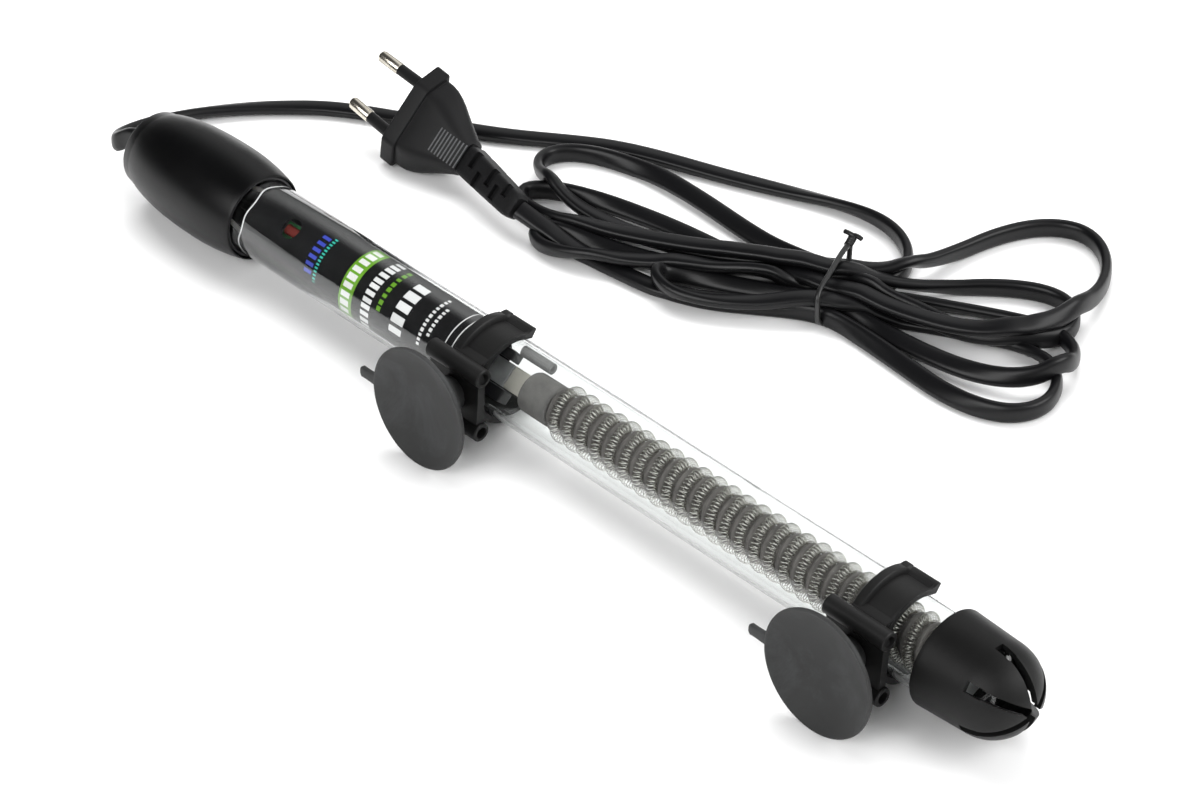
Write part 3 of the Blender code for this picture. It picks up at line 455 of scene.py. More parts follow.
def settle(line, rounds):
    """Lift crossing strands clear of each other and lay the rest on the floor."""
    home = [spot.copy() for spot in line]
    fixed = 4
    for step in range(rounds):
        frames = cord_frames(line)
        tree = KDTree(len(line))
        for i, spot in enumerate(line):
            tree.insert(spot.xyz, i)
        tree.balance()
        moves = [Vector((0, 0, 0)) for _ in line]
        for i, spot in enumerate(line):
            for _, j, gap in tree.find_range(spot.xyz, 2 * CORD_WIDE + 0.4):
                if j <= i + 4:
                    continue
                apart = spot.xyz - line[j].xyz
                if gap < 1e-4:
                    apart = Vector((0, 0, 1e-3))
                way = apart.normalized()
                short = reach(frames[i], way) + reach(frames[j], way) - apart.length
                if short <= 0:
                    continue
                lean = Vector((way.x * 0.45, way.y * 0.45, way.z if abs(way.z) > 0.12 else 0.12))
                push = lean.normalized() * short * 0.30
                moves[i] += push
                moves[j] -= push
        for i in range(fixed, len(line) - fixed):
            spot = line[i]
            move = moves[i]
            if move.length > 0.8:
                move = move.normalized() * 0.8
            middle = (line[i - 1].xyz + line[i + 1].xyz) / 2
            ease = 0.30 if step < rounds - 8 else 0.08
            spot.x += move.x + (home[i].x - spot.x) * 0.06 + (middle.x - spot.x) * 0.16
            spot.y += move.y + (home[i].y - spot.y) * 0.06 + (middle.y - spot.y) * 0.16
            spot.w += ((line[i - 1].w + line[i + 1].w) / 2 - spot.w) * 0.2 + (home[i].w - spot.w) * 0.03
            spot.z += move.z + (middle.z - spot.z) * ease - 0.03
            floor = reach(frames[i], Vector((0, 0, 1))) + 0.25
            spot.z = max(spot.z, floor)
    return line


def cord_section():
    """Outline of the flat twin cord, with a faint waist between its two cores."""
    outline = []
    for i in range(28):
        turn = math.tau * i / 28
        c, s = math.cos(turn), math.sin(turn)
        wide = math.copysign(abs(c) ** 0.88, c) * CORD_WIDE
        thin = math.copysign(abs(s) ** 0.72, s) * CORD_THICK * (1 - 0.02 * math.exp(-(wide / 0.9) ** 2))
        outline.append((wide, thin))
    return outline


def make_cord():
    """The flat cord, settled on the floor and over itself, and the line that it follows."""
    coarse = settle(smooth_line(CORD_ROUTE, 4.0), 80)
    line = smooth_line(coarse, 1.6)
    section = cord_section()
    points = []
    for spot, (_, wide, thin) in zip(line, cord_frames(line)):
        for a, b in section:
            points.append(spot.xyz + wide * a + thin * b)
    made = piece("cord_jacket", points, tube_faces(len(line), len(section), caps=True), [JACKET],
                 slot="cord_jacket", smooth=60, replaces=("cord_lead", "cord_hank"))
    return made, line


cord_piece, cord_line = make_cord()


def tube_along(line, radius, sides=12):
    """Points and faces of a round wire along a line, without twist."""
    line = [Vector(spot) for spot in line]
    points, side = [], Vector((0, 0, 1))
    for i, spot in enumerate(line):
        way = (line[min(i + 1, len(line) - 1)] - line[max(i - 1, 0)]).normalized()
        side = side - way * side.dot(way)
        if side.length < 1e-3:
            side = way.orthogonal()
        side.normalize()
        other = way.cross(side)
        for j in range(sides):
            turn = math.tau * j / sides
            points.append(spot + side * radius * math.cos(turn) + other * radius * math.sin(turn))
    return points, tube_faces(len(line), sides, caps=True)


def make_tie():
    """The twist tie round the waist of the hank, with its twisted ends."""
    loop = []
    for i in range(41):
        turn = math.tau * i / 40 + 0.9
        c, s = math.cos(turn), math.sin(turn)
        wide = math.copysign(abs(c) ** 0.42, c) * 15.4
        high = math.copysign(abs(s) ** 0.42, s) * 6.1
        loop.append(TIE_MIDDLE + TIE_ACROSS * wide + Vector((0.5 * math.sin(turn * 2), 0, high)))
    parts = [tube_along(smooth_line(loop, 1.0), 0.85)]
    foot = loop[0]
    for side in (0.0, math.pi):
        strand = []
        for i in range(17):
            turn = side + math.tau * i / 8
            strand.append(foot + Vector((0.75 * math.cos(turn), 0.75 * math.sin(turn) + 0.12 * i, 0.13 * i)))
        top = strand[-1]
        bend = 1 if side else -1
        strand += [top + Vector((bend * 1.2, bend * 0.2, 0.5)), top + Vector((bend * 2.6, bend * 0.3, 0.6)),
                   top + Vector((bend * 3.9, bend * 0.3, 0.4))]
        parts.append(tube_along(smooth_line(strand, 0.5), 0.75))
    return union("twist_tie", parts, TIE, slot="twist_tie", replaces=("cord_tie",), smooth=60)


tie_piece = make_tie()


# ---------------- the plug
PLUG_BASE = Vector((-136.2, 78.6, 15.4))
RELIEF_END = Vector((-80.4, 73.2, 9.0))


def plug_axes():
    """Directions from pin to pin, through the plug's thickness and along its pins."""
    yaw, pitch, roll = math.radians(183.3), math.radians(13.1), math.radians(53.1)
    pins = Vector((math.cos(yaw) * math.cos(pitch), math.sin(yaw) * math.cos(pitch), math.sin(pitch)))
    level = pins.cross(Vector((0, 0, 1))).normalized()
    across = level * math.cos(roll) + pins.cross(level) * -math.sin(roll)
    return across, pins.cross(across), pins


PLUG_AXES = plug_axes()


def in_plug(x, y, z):
    """A place given from pin to pin, through the thickness and along the pins."""
    return PLUG_BASE + PLUG_AXES[0] * x + PLUG_AXES[1] * y + PLUG_AXES[2] * z


def loft(sections, place, sides=64):
    """Points and faces through rounded sections (x, y, z, half_x, half_y, power)."""
    points = []
    for x, y, z, half_x, half_y, power in sections:
        for j in range(sides):
            turn = -math.tau * j / sides
            c, s = math.cos(turn), math.sin(turn)
            points.append(place(x + math.copysign(abs(c) ** (2 / power), c) * half_x,
                                y + math.copysign(abs(s) ** (2 / power), s) * half_y, z))
    return points, tube_faces(len(sections), sides, caps=True)


def bar_box(low, high, place):
    """Points and faces of a box whose corners are placed by place()."""
    xs, ys, zs = zip(low, high)
    points = [place(x, y, z) for x in xs for y in ys for z in zs]
    return points, [(0, 1, 3, 2), (4, 6, 7, 5), (0, 4, 5, 1), (2, 3, 7, 6), (0, 2, 6, 4), (1, 5, 7, 3)]


def hexagon(flat, ridge, half, cut_back):
    """Points round a flat six-sided outline whose corners are rounded over a length."""
    corners = [Vector(c) for c in ((flat, half), (ridge, 0), (flat, -half), (-flat, -half),
                                   (-ridge, 0), (-flat, half))]
    points = []
    for before, corner, after in zip(corners[-1:] + corners[:-1], corners, corners[1:] + corners[:1]):
        start = corner + (before - corner).normalized() * cut_back
        end = corner + (after - corner).normalized() * cut_back
        for i in range(10):
            t = i / 9
            points.append(start * (1 - t) ** 2 + corner * 2 * t * (1 - t) + end * t ** 2)
    return points


PLUG_SECTIONS = (
    (0.0, 9.9, 17.2, 6.45, 1.1), (-0.15, 10.15, 17.5, 6.7, 1.2), (-0.45, 10.3, 17.7, 6.85, 1.3),
    (-4.75, 10.3, 17.7, 6.85, 1.3), (-5.15, 10.2, 17.5, 6.75, 1.3), (-5.4, 9.9, 17.0, 6.5, 1.4),
    (-5.5, 9.5, 16.1, 6.15, 1.6), (-6.0, 9.5, 16.0, 6.15, 1.7), (-6.15, 9.6, 16.1, 6.5, 1.8),
    (-8.0, 9.5, 16.3, 6.8, 2.4), (-10.5, 9.1, 16.1, 6.9, 3.0), (-13.0, 8.5, 15.2, 6.9, 3.2),
    (-15.5, 7.8, 13.8, 6.75, 3.2), (-18.0, 7.0, 12.0, 6.5, 3.0), (-20.5, 6.3, 10.2, 6.1, 2.7),
    (-23.0, 5.6, 8.5, 5.6, 2.3), (-25.0, 5.0, 7.2, 4.9, 2.0), (-26.3, 4.7, 6.6, 4.4, 1.8))


def broad_side(z):
    """Half of the plug's thickness at a height."""
    for upper, lower in zip(PLUG_SECTIONS, PLUG_SECTIONS[1:]):
        if z >= lower[0]:
            part = (upper[0] - z) / (upper[0] - lower[0])
            return upper[3] + (lower[3] - upper[3]) * part
    return PLUG_SECTIONS[-1][3]


def make_plug():
    """The plug's moulded body, its two pins and the fine grip lines near its neck."""
    points = []
    for z, *size in PLUG_SECTIONS:
        points += [in_plug(x, y, z) for x, y in hexagon(*size)]
    made = [union("plug_shell", [(points, tube_faces(len(PLUG_SECTIONS), 60, caps=True))], BLACK,
                  slot="black_plastic", replaces=("plug_body",), smooth=24)]
    lines = []
    for face in (1, -1):
        for i in range(9):
            z = -16.4 - 1.18 * i
            top = broad_side(z) + 0.16
            low = (-4.2, min(face * top, face * (top - 0.5)), z - 0.22)
            high = (4.2, max(face * top, face * (top - 0.5)), z + 0.22)
            lines.append(bar_box(low, high, in_plug))
    # The grip lines are coloured pale as a painted highlight.
    made.append(union("plug_grip_lines", lines, PAINTED_GRIP_HIGHLIGHT, bevel=0.08, slot="black_plastic"))
    for number, side in ((1, 1), (2, -1)):
        def place(along, across, up, side=side):
            return in_plug(side * (9.3 - 0.55 * along / 19) + across, up, along)
        metal = [(10.4, 1.5), (10.55, 1.9), (10.8, 2.0), (17.9, 2.0), (18.5, 1.88), (18.85, 1.6),
                 (19.0, 1.1), (19.02, 0.05)]
        made.append(lathe(f"pin_{number}", metal, NICKEL, 48, place, closed=False, slot="nickel_plate",
                          replaces=(f"plug_pin_{number}",)))
        sleeve = [(-2.0, 1.9), (10.4, 1.9), (10.5, 1.85), (10.5, 1.5), (-2.0, 1.5)]
        made.append(lathe(f"sleeve_{number}", sleeve, BLACK, 40, place, slot="black_plastic",
                          replaces=(f"pin_sleeve_{number}",)))
    return made


def make_relief():
    """The strain relief, a flat block with slots cut into it from alternate sides."""
    neck = in_plug(0, 0, -25.6)
    way = (RELIEF_END - neck).normalized()
    side = (PLUG_AXES[0] - way * PLUG_AXES[0].dot(way)).normalized()
    thick = way.cross(side)
    length = (RELIEF_END - neck).length

    def place(x, y, z):
        return neck + side * x + thick * y + way * z
    block = loft([(0, 0, -1.0, 4.6, 3.0, 5), (0, 0, 2.4, 4.9, 3.4, 5), (0, 0, 2.9, 5.1, 3.6, 6),
                  (0, 0, 10.0, 5.0, 3.5, 6), (0, 0, 20.0, 4.7, 3.3, 6), (0, 0, length - 3, 4.4, 3.1, 6),
                  (0, 0, length - 1.2, 4.1, 2.9, 5), (0, 0, length, 3.4, 2.5, 4)], place, 64)
    made = union("plug_relief", [block], BLACK, slot="black_plastic", replaces=("plug_strain_relief",),
                 smooth=30)
    slots = []
    for number, (z, inner, outer) in enumerate((
            (7.4, -0.6, 9.0), (12.4, -9.0, 0.5), (17.4, -1.2, 9.0), (21.8, -3.4, 1.6), (26.0, 0.2, 9.0))):
        for face in (1, -1):
            low = (inner, min(face * 1.9, face * 6.0), z - 1.3)
            high = (outer, max(face * 1.9, face * 6.0), z + 1.3)
            slots.append(plain(f"slot_{number}_{face}", *bar_box(low, high, place)))
    return cut(made, slots)


plug_pieces, relief_piece = make_plug(), make_relief()


# ---------------- cap and glass
CAP_RADIUS, CAP_WIDEST = 16.2, 38       # the widest place is this far from the outlet's tip


def cap_radius(along):
    """Outer radius of the cap's curved side, at a distance from the tip of its outlet."""
    if along < CAP_WIDEST:
        return CAP_RADIUS * max(1 - ((CAP_WIDEST - along) / CAP_WIDEST) ** 2.3, 0.0) ** 0.3125
    return CAP_RADIUS - 2.3 * ((along - CAP_WIDEST) / 20) ** 2.2


def make_cap():
    """The cap's shell, the ribbed ring in its mouth and the cord's grommet."""
    end = [(-HALF_LENGTH, 4.4), (-HALF_LENGTH, 5.2), (-180.8, 5.5), (-176.0, 6.2), (-175.5, 6.7),
           (-175.5, 9.9)]
    end += [(-174.0 - 1.5 * math.cos(math.radians(a)), 10.3 + 2.2 * math.sin(math.radians(a)))
            for a in range(6, 67, 6)]
    stations = [9.0 + 48.5 * i / 50 for i in range(51)]
    outer = end + [(-HALF_LENGTH + s, cap_radius(s)) for s in stations]
    mouth = [(-123.15, 13.86), (-123.0, 13.72), (-123.0, 13.50), (-123.2, 13.38), (-130.6, 13.38)]
    inside = [(-130.6, 12.6), (-147, 12.6), (-147.5, 13.6), (-155, 14.2), (-170, 11.6),
              (-173.8, 9.6), (-173.8, 4.4)]
    lathe("cap_shell", list(reversed(outer + mouth + inside)), CAP_BLACK, steps=128,
          slot="cap_plastic", replaces=("head_cap",), smooth=30)
    ribs, points = 132, []
    profile = [(-123.7, 12.32), (-123.62, 12.5), (-123.62, 12.95), (-123.8, 13.2), (-130.0, 13.25),
               (-130.0, 12.32)]
    for along, radius in profile:
        for j in range(ribs * 2):
            turn = math.tau * j / (ribs * 2)
            r = radius - (0.16 if j % 2 and radius > 12.4 else 0.0)
            points.append(on_axis(along, r * math.cos(turn), r * math.sin(turn)))
    faces = tube_faces(len(profile), ribs * 2, closed_along=True)
    piece("seal_ribbed_ring", points, faces, [SEAL], slot="seal_rubber", replaces=("cap_seal_ring",))
    gland = [(-172.1, 2.2), (-172.1, 5.4), (-173.4, 5.4), (-173.5, 3.9), (-181.4, 3.9), (-182.2, 3.8),
             (-182.9, 3.5), (-183.0, 3.3), (-182.9, 2.2)]
    return lathe("gland_grommet", gland, SEAL, steps=48, slot="black_plastic",
                 replaces=("cord_gland",), smooth=40)


gland_piece = make_cap()


def glass_end(length, radius):
    """Profile of the tube's round closed end, from its tip to its straight side."""
    turns = [math.radians(90 * i / 14) for i in range(15)]
    return [(160 + length * math.cos(turn), radius * math.sin(turn) + 0.02) for turn in turns]


def make_glass():
    """The glass tube, closed at the guarded end and open inside the cap."""
    straight = [100, 40, -20, -80, -159.6]
    profile = glass_end(11, TUBE_RADIUS) + [(x, TUBE_RADIUS) for x in straight]
    profile += [(-160, 11.6), (-160, 11.2)] + [(x, TUBE_INNER_RADIUS) for x in reversed(straight)]
    profile += reversed(glass_end(9.8, TUBE_INNER_RADIUS))
    lathe("glass_shell", profile, GLASS, steps=128, slot="clear_glass", replaces=("glass_tube",),
          smooth=50)


make_glass()


# ---------------- the label
LABEL_RADIUS = 10.55


BLACK_FILM, GREEN_FILM, WHITE_FILM, BLUE_FILM, TEAL_FILM = range(5)
# Rows of plain bars stand for the printed lines: the row's edges along X, where it starts and
# ends round the tube, a bar's width and gap in degrees, and the colour.
LABEL_ROWS = (
    (-91.6, -88.4, 100, 172, 6, 6, BLUE_FILM), (-87.2, -86.2, 96, 176, 3, 3, TEAL_FILM),
    (-74.9, -71.3, 70, 200, 9.5, 5, WHITE_FILM), (-66.0, -62.8, 66, 206, 7.5, 4, WHITE_FILM),
    (-60.4, -58.6, 72, 158, 7, 4, GREEN_FILM), (-53.6, -48.6, 82, 174, 14, 6.5, WHITE_FILM),
    (-42.3, -41.0, 76, 168, 5, 3, WHITE_FILM), (-39.2, -38.1, 94, 150, 5, 3, WHITE_FILM),
)


def label_shade(x, angle):
    """Which film colour a place on the label has."""
    for low, high, start, end, bar, gap, colour in LABEL_ROWS:
        if low <= x <= high and start <= angle <= end and (angle - start) % (bar + gap) < bar:
            return colour
    if -75.9 <= x <= -70.2 and 62 <= angle <= 208:
        return GREEN_FILM
    if x < -119.75 or abs(x + 32.1) < 0.16 or abs(x + 29.3) < 0.16:
        return WHITE_FILM
    return BLACK_FILM


WINDOW_X, WINDOW_ANGLE, WINDOW_RADIUS = -102.4, 121.0, 3.2
DEGREES_PER_MM = math.degrees(1 / LABEL_RADIUS)


def from_window(x, angle):
    """How far a place on the label is from the window's centre, along it and round it, in mm."""
    return x - WINDOW_X, (angle - WINDOW_ANGLE) / DEGREES_PER_MM


def make_label():
    """The printed film inside the glass, with its round window and its wavy pale edge."""
    around = 240
    xs = [-120.3, -119.8] + [-119.4 + 0.4 * i for i in range(239)]
    points, faces, slots = [], [], []
    for radius in (LABEL_RADIUS, LABEL_RADIUS - 0.14):
        for i, x in enumerate(xs):
            for j in range(around):
                turn = math.tau * j / around
                fade = max(0.0, 1 - (x + 120.3) / 8)
                ripple = fade * (0.55 * math.sin(3 * turn + 0.6) + 0.35 * math.sin(7 * turn))
                out, round_by = from_window(x, math.degrees(turn))
                reach_out = math.hypot(out, round_by)
                grow = WINDOW_RADIUS / reach_out if abs(reach_out - WINDOW_RADIUS) < 0.22 else 1.0
                turn += math.radians(round_by * (grow - 1) * DEGREES_PER_MM)
                points.append(on_axis(x + ripple + out * (grow - 1), radius * math.cos(turn),
                                      radius * math.sin(turn)))
    rows = len(xs)
    for layer in (0, 1):
        for i in range(rows - 1):
            middle = (xs[i] + xs[i + 1]) / 2
            for j in range(around):
                a = (layer * rows + i) * around
                k = (j + 1) % around
                angle = 360 * (j + 0.5) / around
                if math.hypot(*from_window(middle, angle)) < WINDOW_RADIUS:
                    continue
                face = (a + j, a + k, a + around + k, a + around + j)
                faces.append(face if layer == 0 else face[::-1])
                slots.append(label_shade(middle, angle) if layer == 0 else BLACK_FILM)
    last = rows * around
    for i in (0, rows - 1):
        for j in range(around):
            k = (j + 1) % around
            a = i * around
            face = (a + j, last + a + j, last + a + k, a + k)
            faces.append(face if i == 0 else face[::-1])
            slots.append(WHITE_FILM if i == 0 else BLACK_FILM)
    piece("printed_label", points, faces, [FILM, FILM_GREEN, FILM_WHITE, FILM_BLUE, FILM_TEAL],
          slot="printed_film", slots=slots, replaces=("label_liner",))


make_label()


# ---------------- the heating element
COIL_START, COIL_PITCH, COIL_TURNS, COIL_RADIUS = 8.6, 5.53, 25.5, 6.85
HEAD_START, HEAD_END, CORE_START, CORE_END = -4.8, 6.5, 6.8, 157.0


def make_coil():
    """Fine wire wound into a small coil, which winds round the ridged core."""
    loops_per_turn, steps, small, wire_radius = 42, 9, 1.42, 0.14
    count = round(COIL_TURNS * loops_per_turn * steps)
    line = []
    for i in range(count + 1):
        turns = i / (loops_per_turn * steps)
        angle = math.tau * turns
        drift = 0.10 * math.sin(angle * 0.37) + 0.06 * math.sin(angle * 2.3)
        radial = Vector((0, math.cos(angle), math.sin(angle)))
        along = Vector((COIL_PITCH / math.tau, -COIL_RADIUS * math.sin(angle), COIL_RADIUS * math.cos(angle)))
        side = along.normalized().cross(radial)
        loop = math.tau * i / steps + 0.5 * math.sin(angle * 5.1)
        size = small * (1 + 0.05 * math.sin(angle * 3.7))
        centre = Vector((COIL_START + COIL_PITCH * turns + drift, AXIS_Y, AXIS_Z)) + radial * COIL_RADIUS
        line.append(centre + radial * size * math.cos(loop) + side * size * math.sin(loop))
    points, faces = tube_along(line, wire_radius, 5)
    piece("fine_coil", points, faces, [COIL], slot="resistance_wire", replaces=("heating_coil",), smooth=80)


def make_core():
    """The ceramic core with a helical ridge between the coil's turns, and its smooth head."""
    around, step = 64, 0.42
    rows = round((CORE_END - CORE_START) / step) + 1
    points = []
    for i in range(rows):
        x = CORE_START + (CORE_END - CORE_START) * i / (rows - 1)
        for j in range(around):
            turn = math.tau * j / around
            phase = ((x - COIL_START) / COIL_PITCH - j / around) % 1.0
            ridge = max(0.0, 1 - (abs(phase - 0.5) / 0.21) ** 2) ** 0.5 if x > 7.2 else 0.0
            inside = 0 < i < rows - 1
            radius = 5.1 + (1.75 * ridge if inside else 0.0)
            points.append(on_axis(x, radius * math.cos(turn), radius * math.sin(turn)))
    piece("ridged_core", points, tube_faces(rows, around, caps=True), [CORE], slot="grey_ceramic",
          replaces=("ceramic_core",), smooth=50)
    head = [(HEAD_START, 1.5), (HEAD_START, 5.4), (-4.5, 5.95), (-3.9, 6.2), (2.0, 6.25),
            (5.7, 6.25), (6.3, 5.9), (HEAD_END, 5.4), (HEAD_END, 1.5)]
    lathe("element_head", head, CERAMIC, steps=72, slot="grey_ceramic", replaces=("ceramic_head",), smooth=30)


make_coil()
make_core()


# ---------------- the end guard
GUARD_START, NOSE_START = 151.0, 166.0


def guard_radius(x):
    """Outer radius of the guard: a slight taper, then a round nose."""
    if x < NOSE_START:
        return 14.4 - 0.7 * (x - GUARD_START) / 15
    return 13.7 * max(1 - ((x - NOSE_START) / 15) ** 2.2, 0.0) ** 0.55


def make_guard():
    """The end guard, a cup with three slots across its nose."""
    nose = [HALF_LENGTH - 30 * (i / 34) ** 1.8 for i in range(1, 34)]
    outer = [(HALF_LENGTH, 0.05)] + [(x, guard_radius(x)) for x in nose]
    outer += [(151.5, 14.4), (151.1, 14.3), (GUARD_START, 14.05)]
    inner = [(GUARD_START, 12.75), (151.3, 12.42), (160.0, 12.42)]
    inner += [(x - 1.6, max(guard_radius(x) - 1.35, 0.05)) for x in reversed(nose) if x > 163.5]
    profile = outer + inner + [(179.4, 0.05)]
    # The guard's shell takes the cap's plastic painted lighter: painted light, not a different plastic.
    made = lathe("guard_shell", profile, GUARD_PAINTED_LIGHTER, steps=144, closed=False, slot="cap_plastic",
                 replaces=("end_guard",), smooth=30)
    cutters = []
    for i in range(3):
        turn = math.radians(146 + 60 * i)

        def place(x, y, z, c=math.cos(turn), s=math.sin(turn)):
            return on_axis(x, y * c - z * s, y * s + z * c)
        cutters.append(plain("slot_cutter", *bar_box((167.3, -20, -1.2), (186, 20, 1.2), place)))
        cutters.append(plain("slot_start_cutter", *bar_box((167.0, -20, -1.5), (172.0, 20, 1.5), place)))
    return cut(made, cutters)


make_guard()


# ---------------- brackets and cups
def holder(number):
    """Placing in a bracket's own frame: along the tube, across, and away from the tube."""
    middle = BRACKET_X[number - 1]

    def place(x, y, z):
        return (middle + x, AXIS_Y + y * math.sin(CUP_TILT) - z * math.cos(CUP_TILT),
                AXIS_Z + y * math.cos(CUP_TILT) + z * math.sin(CUP_TILT))
    return place


def arm(side, place):
    """One springy arm: a channelled band round the glass that ends in a flared lip."""
    rows = []
    for i in range(41):
        angle = 24 + (122 - 24) * i / 40
        lip = max(0.0, (angle - 113) / 9)
        outer = 14.35 + 1.75 * min(1.0, lip * 1.3) ** 0.8
        web = 13.75 + 2.2 * min(1.0, lip * 1.3) ** 0.8
        inner = 12.35 + 0.5 * lip
        rows.append((angle, inner, web, outer))
    points = []
    for angle, inner, web, outer in rows:
        turn = math.radians(angle)
        rib = outer + 1.1 * min(1.0, (122 - angle) / 12)
        for x, r in ((-6.2, inner), (-6.2, rib - 0.3), (-5.8, rib), (-3.6, rib), (-3.2, rib - 0.4),
                     (-3.0, web), (5.2, web), (5.4, outer - 0.1), (6.2, outer - 0.2), (6.2, inner)):
            points.append(place(x, side * r * math.sin(turn), r * math.cos(turn)))
    faces = tube_faces(len(rows), 10, caps=True)
    if side > 0:
        faces = [face[::-1] for face in faces]
    return points, faces


def ring_plate(place):
    """The plate between the bosses, with the hole for the suction cup's neck."""
    points, around = [], 48
    for z, inner_first in ((14.6, True), (17.2, False)):
        loops = []
        for half_x, half_y in ((4.2, 4.2), (10.0, 9.2)):
            loop = []
            for j in range(around):
                turn = math.tau * j / around
                c, s = math.cos(turn), math.sin(turn)
                if half_x == half_y:
                    loop.append(place(half_x * c, half_y * s, z))
                else:
                    scale = 1 / max(abs(c) / half_x, abs(s) / half_y)
                    loop.append(place(scale * c, scale * s, z))
            loops.append(loop)
        points += loops[0] + loops[1] if inner_first else loops[1] + loops[0]
    return points, tube_faces(4, around, closed_along=True)


def make_bracket(number):
    """One clip: a plate with two bosses and an arm on each side of the glass."""
    place = holder(number)
    parts = [ring_plate(place)]
    for side in (1, -1):
        parts.append(arm(side, place))
        boss = [(-10.75, 1.75), (-10.75, 2.6), (-10.5, 2.85), (10.5, 2.85), (10.75, 2.6), (10.75, 1.75)]

        def beside(along, across, up, side=side):
            return place(along, side * 9.2 + across, 15.9 + up)
        parts.append((lathe_points(boss, 28, beside), tube_faces(len(boss), 28, closed_along=True)))
        root = []
        for angle, low, high in ((24, 12.4, 17.2), (30, 12.4, 17.0), (36, 12.4, 16.4), (42, 12.4, 15.2),
                                 (48, 12.4, 14.3)):
            turn = math.radians(angle)
            for x, r in ((-6.0, low), (-6.0, high), (6.0, high), (6.0, low)):
                root.append(place(x, side * r * math.sin(turn), r * math.cos(turn)))
        parts.append((root, tube_faces(5, 4, caps=True)))
    return union(f"clip_{number}", parts, BRACKET_BLACK, body=f"bracket_{number}", slot="black_plastic",
                 replaces=(f"bracket_{number}",), smooth=40)


def make_cup(number):
    """One suction cup with its neck through the plate and its pull tab."""
    place = holder(number)
    rim = 31.0
    face = [(rim - 5.5 + 5.35 * (i / 16) ** 1.8, 17.7 * i / 16 + 0.03) for i in range(17)]
    back = [(rim, 18.1), (rim - 0.15, 18.5), (rim - 0.55, 18.6), (rim - 1.2, 18.35), (rim - 1.7, 17.6),
            (28.4, 16.3), (27.4, 15.1), (26.0, 13.3), (24.4, 11.2), (22.8, 9.1), (21.4, 7.5),
            (20.0, 6.2), (18.6, 5.4), (17.5, 5.0), (17.3, 3.9), (14.7, 3.9), (14.5, 5.1), (13.2, 5.2),
            (12.7, 4.4), (12.6, 0.03)]

    def outward(along, across, up):
        return place(across, up, along)
    profile = face + back
    parts = [(lathe_points(profile, 96, outward), tube_faces(len(profile), 96, caps=True))]
    tab = []
    for x, half_y, half_z in ((-17.4, 2.1, 0.6), (-19.5, 1.9, 0.75), (-22.0, 1.7, 0.85), (-23.8, 1.75, 0.9),
                              (-24.5, 1.2, 0.6)):
        for j in range(24):
            turn = math.tau * j / 24
            c, s = math.cos(turn), math.sin(turn)
            tab.append(place(x, math.copysign(abs(c) ** 0.6, c) * half_y,
                             rim - 0.95 + math.copysign(abs(s) ** 0.6, s) * half_z))
    parts.append((tab, tube_faces(5, 24, caps=True)))
    return union(f"cup_{number}", parts, RUBBER, body=f"suction_cup_{number}", slot="grey_rubber",
                 replaces=(f"suction_cup_{number}",), smooth=45)


for number in (1, 2):
    make_bracket(number)
    make_cup(number)

# ---------------- CAD nodes that stay
KEPT = {
    "tube_stopper": SEAL, "inner_cord": JACKET, "indicator_lamp": LAMP, "lamp_board": BOARD,
    "thermostat_base": MICA, "bimetal_post": BRASS, "bimetal_arm": STRIP, "moving_contact": SILVER,
    "fixed_contact": BRASS, "snap_magnet": FERRITE, "calibration_screw": BRASS, "capacitor": PARTS_BLACK,
    "insulator_plate": CREAM, "terminal_block": PARTS_BLACK, "lead_sleeve": SLEEVE, "live_lead": TINNED,
    "neutral_lead": TINNED, "return_lead": TINNED, "core_support_disc": MICA,
}
for node, material in KEPT.items():
    for place in NODES[node].material_slots:
        place.material = material

[spot.xyz * MM for spot in cord_line]
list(plug_pieces)


# ---------------- floor and light
def make_floor():
    """A plain pale floor."""
    corners = [(-6000, -6000, 0), (6000, -6000, 0), (6000, 6000, 0), (-6000, 6000, 0)]
    floor = plain("floor", corners, [(0, 1, 2, 3)])
    floor.data.materials.append(look("pale_floor", (0.90, 0.90, 0.90), 0.75, grain=300, bump=0.02,
                                     spread=0.005, patch=3, specular=0.1))


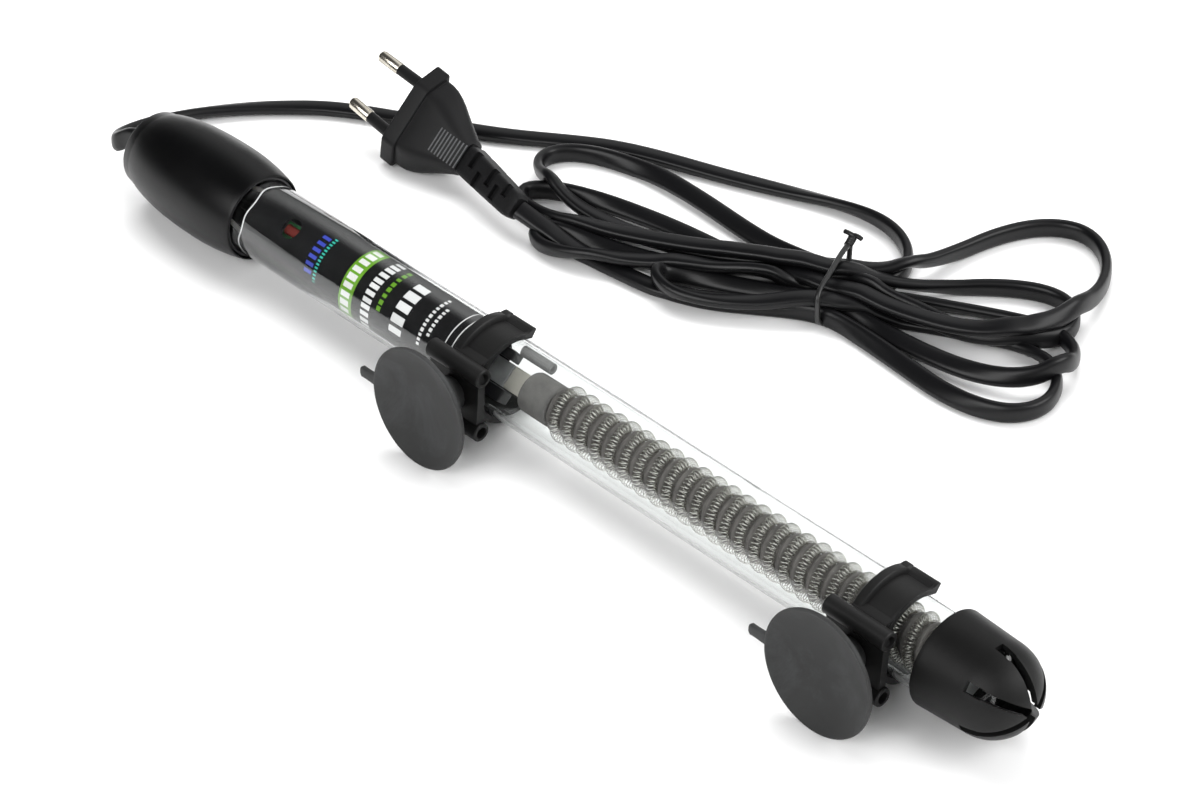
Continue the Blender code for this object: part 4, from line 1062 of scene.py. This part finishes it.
def make_world():
    """A pale sky that is darker near the horizon and on the side the black plastics mirror."""
    world = bpy.data.worlds.new("studio")
    bpy.context.scene.world = world
    world.use_nodes = True
    tree = world.node_tree
    shade = tree.nodes["Background"]
    shade.inputs["Strength"].default_value = 1.0
    new = tree.nodes.new
    way = new("ShaderNodeTexCoord")
    split = new("ShaderNodeSeparateXYZ")
    sky = ramp(tree, 0.04, (0.10, 0.10, 0.10), 0.62, (1.05, 1.05, 1.05))
    tree.links.new(way.outputs["Generated"], split.inputs[0])
    tree.links.new(split.outputs["Z"], sky.inputs["Fac"])
    toward = new("ShaderNodeVectorMath")
    toward.operation = "DOT_PRODUCT"
    toward.inputs[1].default_value = (-0.565, -0.535, 0.63)
    tree.links.new(way.outputs["Generated"], toward.inputs[0])
    dim = ramp(tree, 0.34, (1, 1, 1), 0.66, (0.06, 0.06, 0.06))
    tree.links.new(toward.outputs["Value"], dim.inputs["Fac"])
    both = new("ShaderNodeMix")
    both.data_type = "RGBA"
    both.blend_type = "MULTIPLY"
    both.inputs["Factor"].default_value = 1.0
    tree.links.new(sky.outputs["Color"], both.inputs["A"])
    tree.links.new(dim.outputs["Color"], both.inputs["B"])
    tree.links.new(both.outputs["Result"], shade.inputs["Color"])


def make_lamps():
    """Three soft lamps: above the cord end, beside the guard and in front."""
    for name, place, size, power in (
            ("key", (-0.8, 0.6, 1.4), 1.6, 34.0), ("side", (1.3, 0.8, 1.0), 1.4, 18.0),
            ("front", (0.1, -1.4, 1.0), 1.4, 22.0)):
        data = bpy.data.lights.new(name, "AREA")
        data.shape = "RECTANGLE"
        data.size, data.size_y, data.energy = size, size * 0.7, power
        lamp = bpy.data.objects.new(name, data)
        lamp.visible_glossy = name != "key"
        lamp.visible_transmission = False
        lamp.location = place
        lamp.rotation_euler = (Vector((0, 0.05, 0)) - Vector(place)).to_track_quat("-Z", "Y").to_euler()
        bpy.context.scene.collection.objects.link(lamp)


bpy.context.scene.view_settings.view_transform = "Standard"
make_floor()
make_world()
make_lamps()
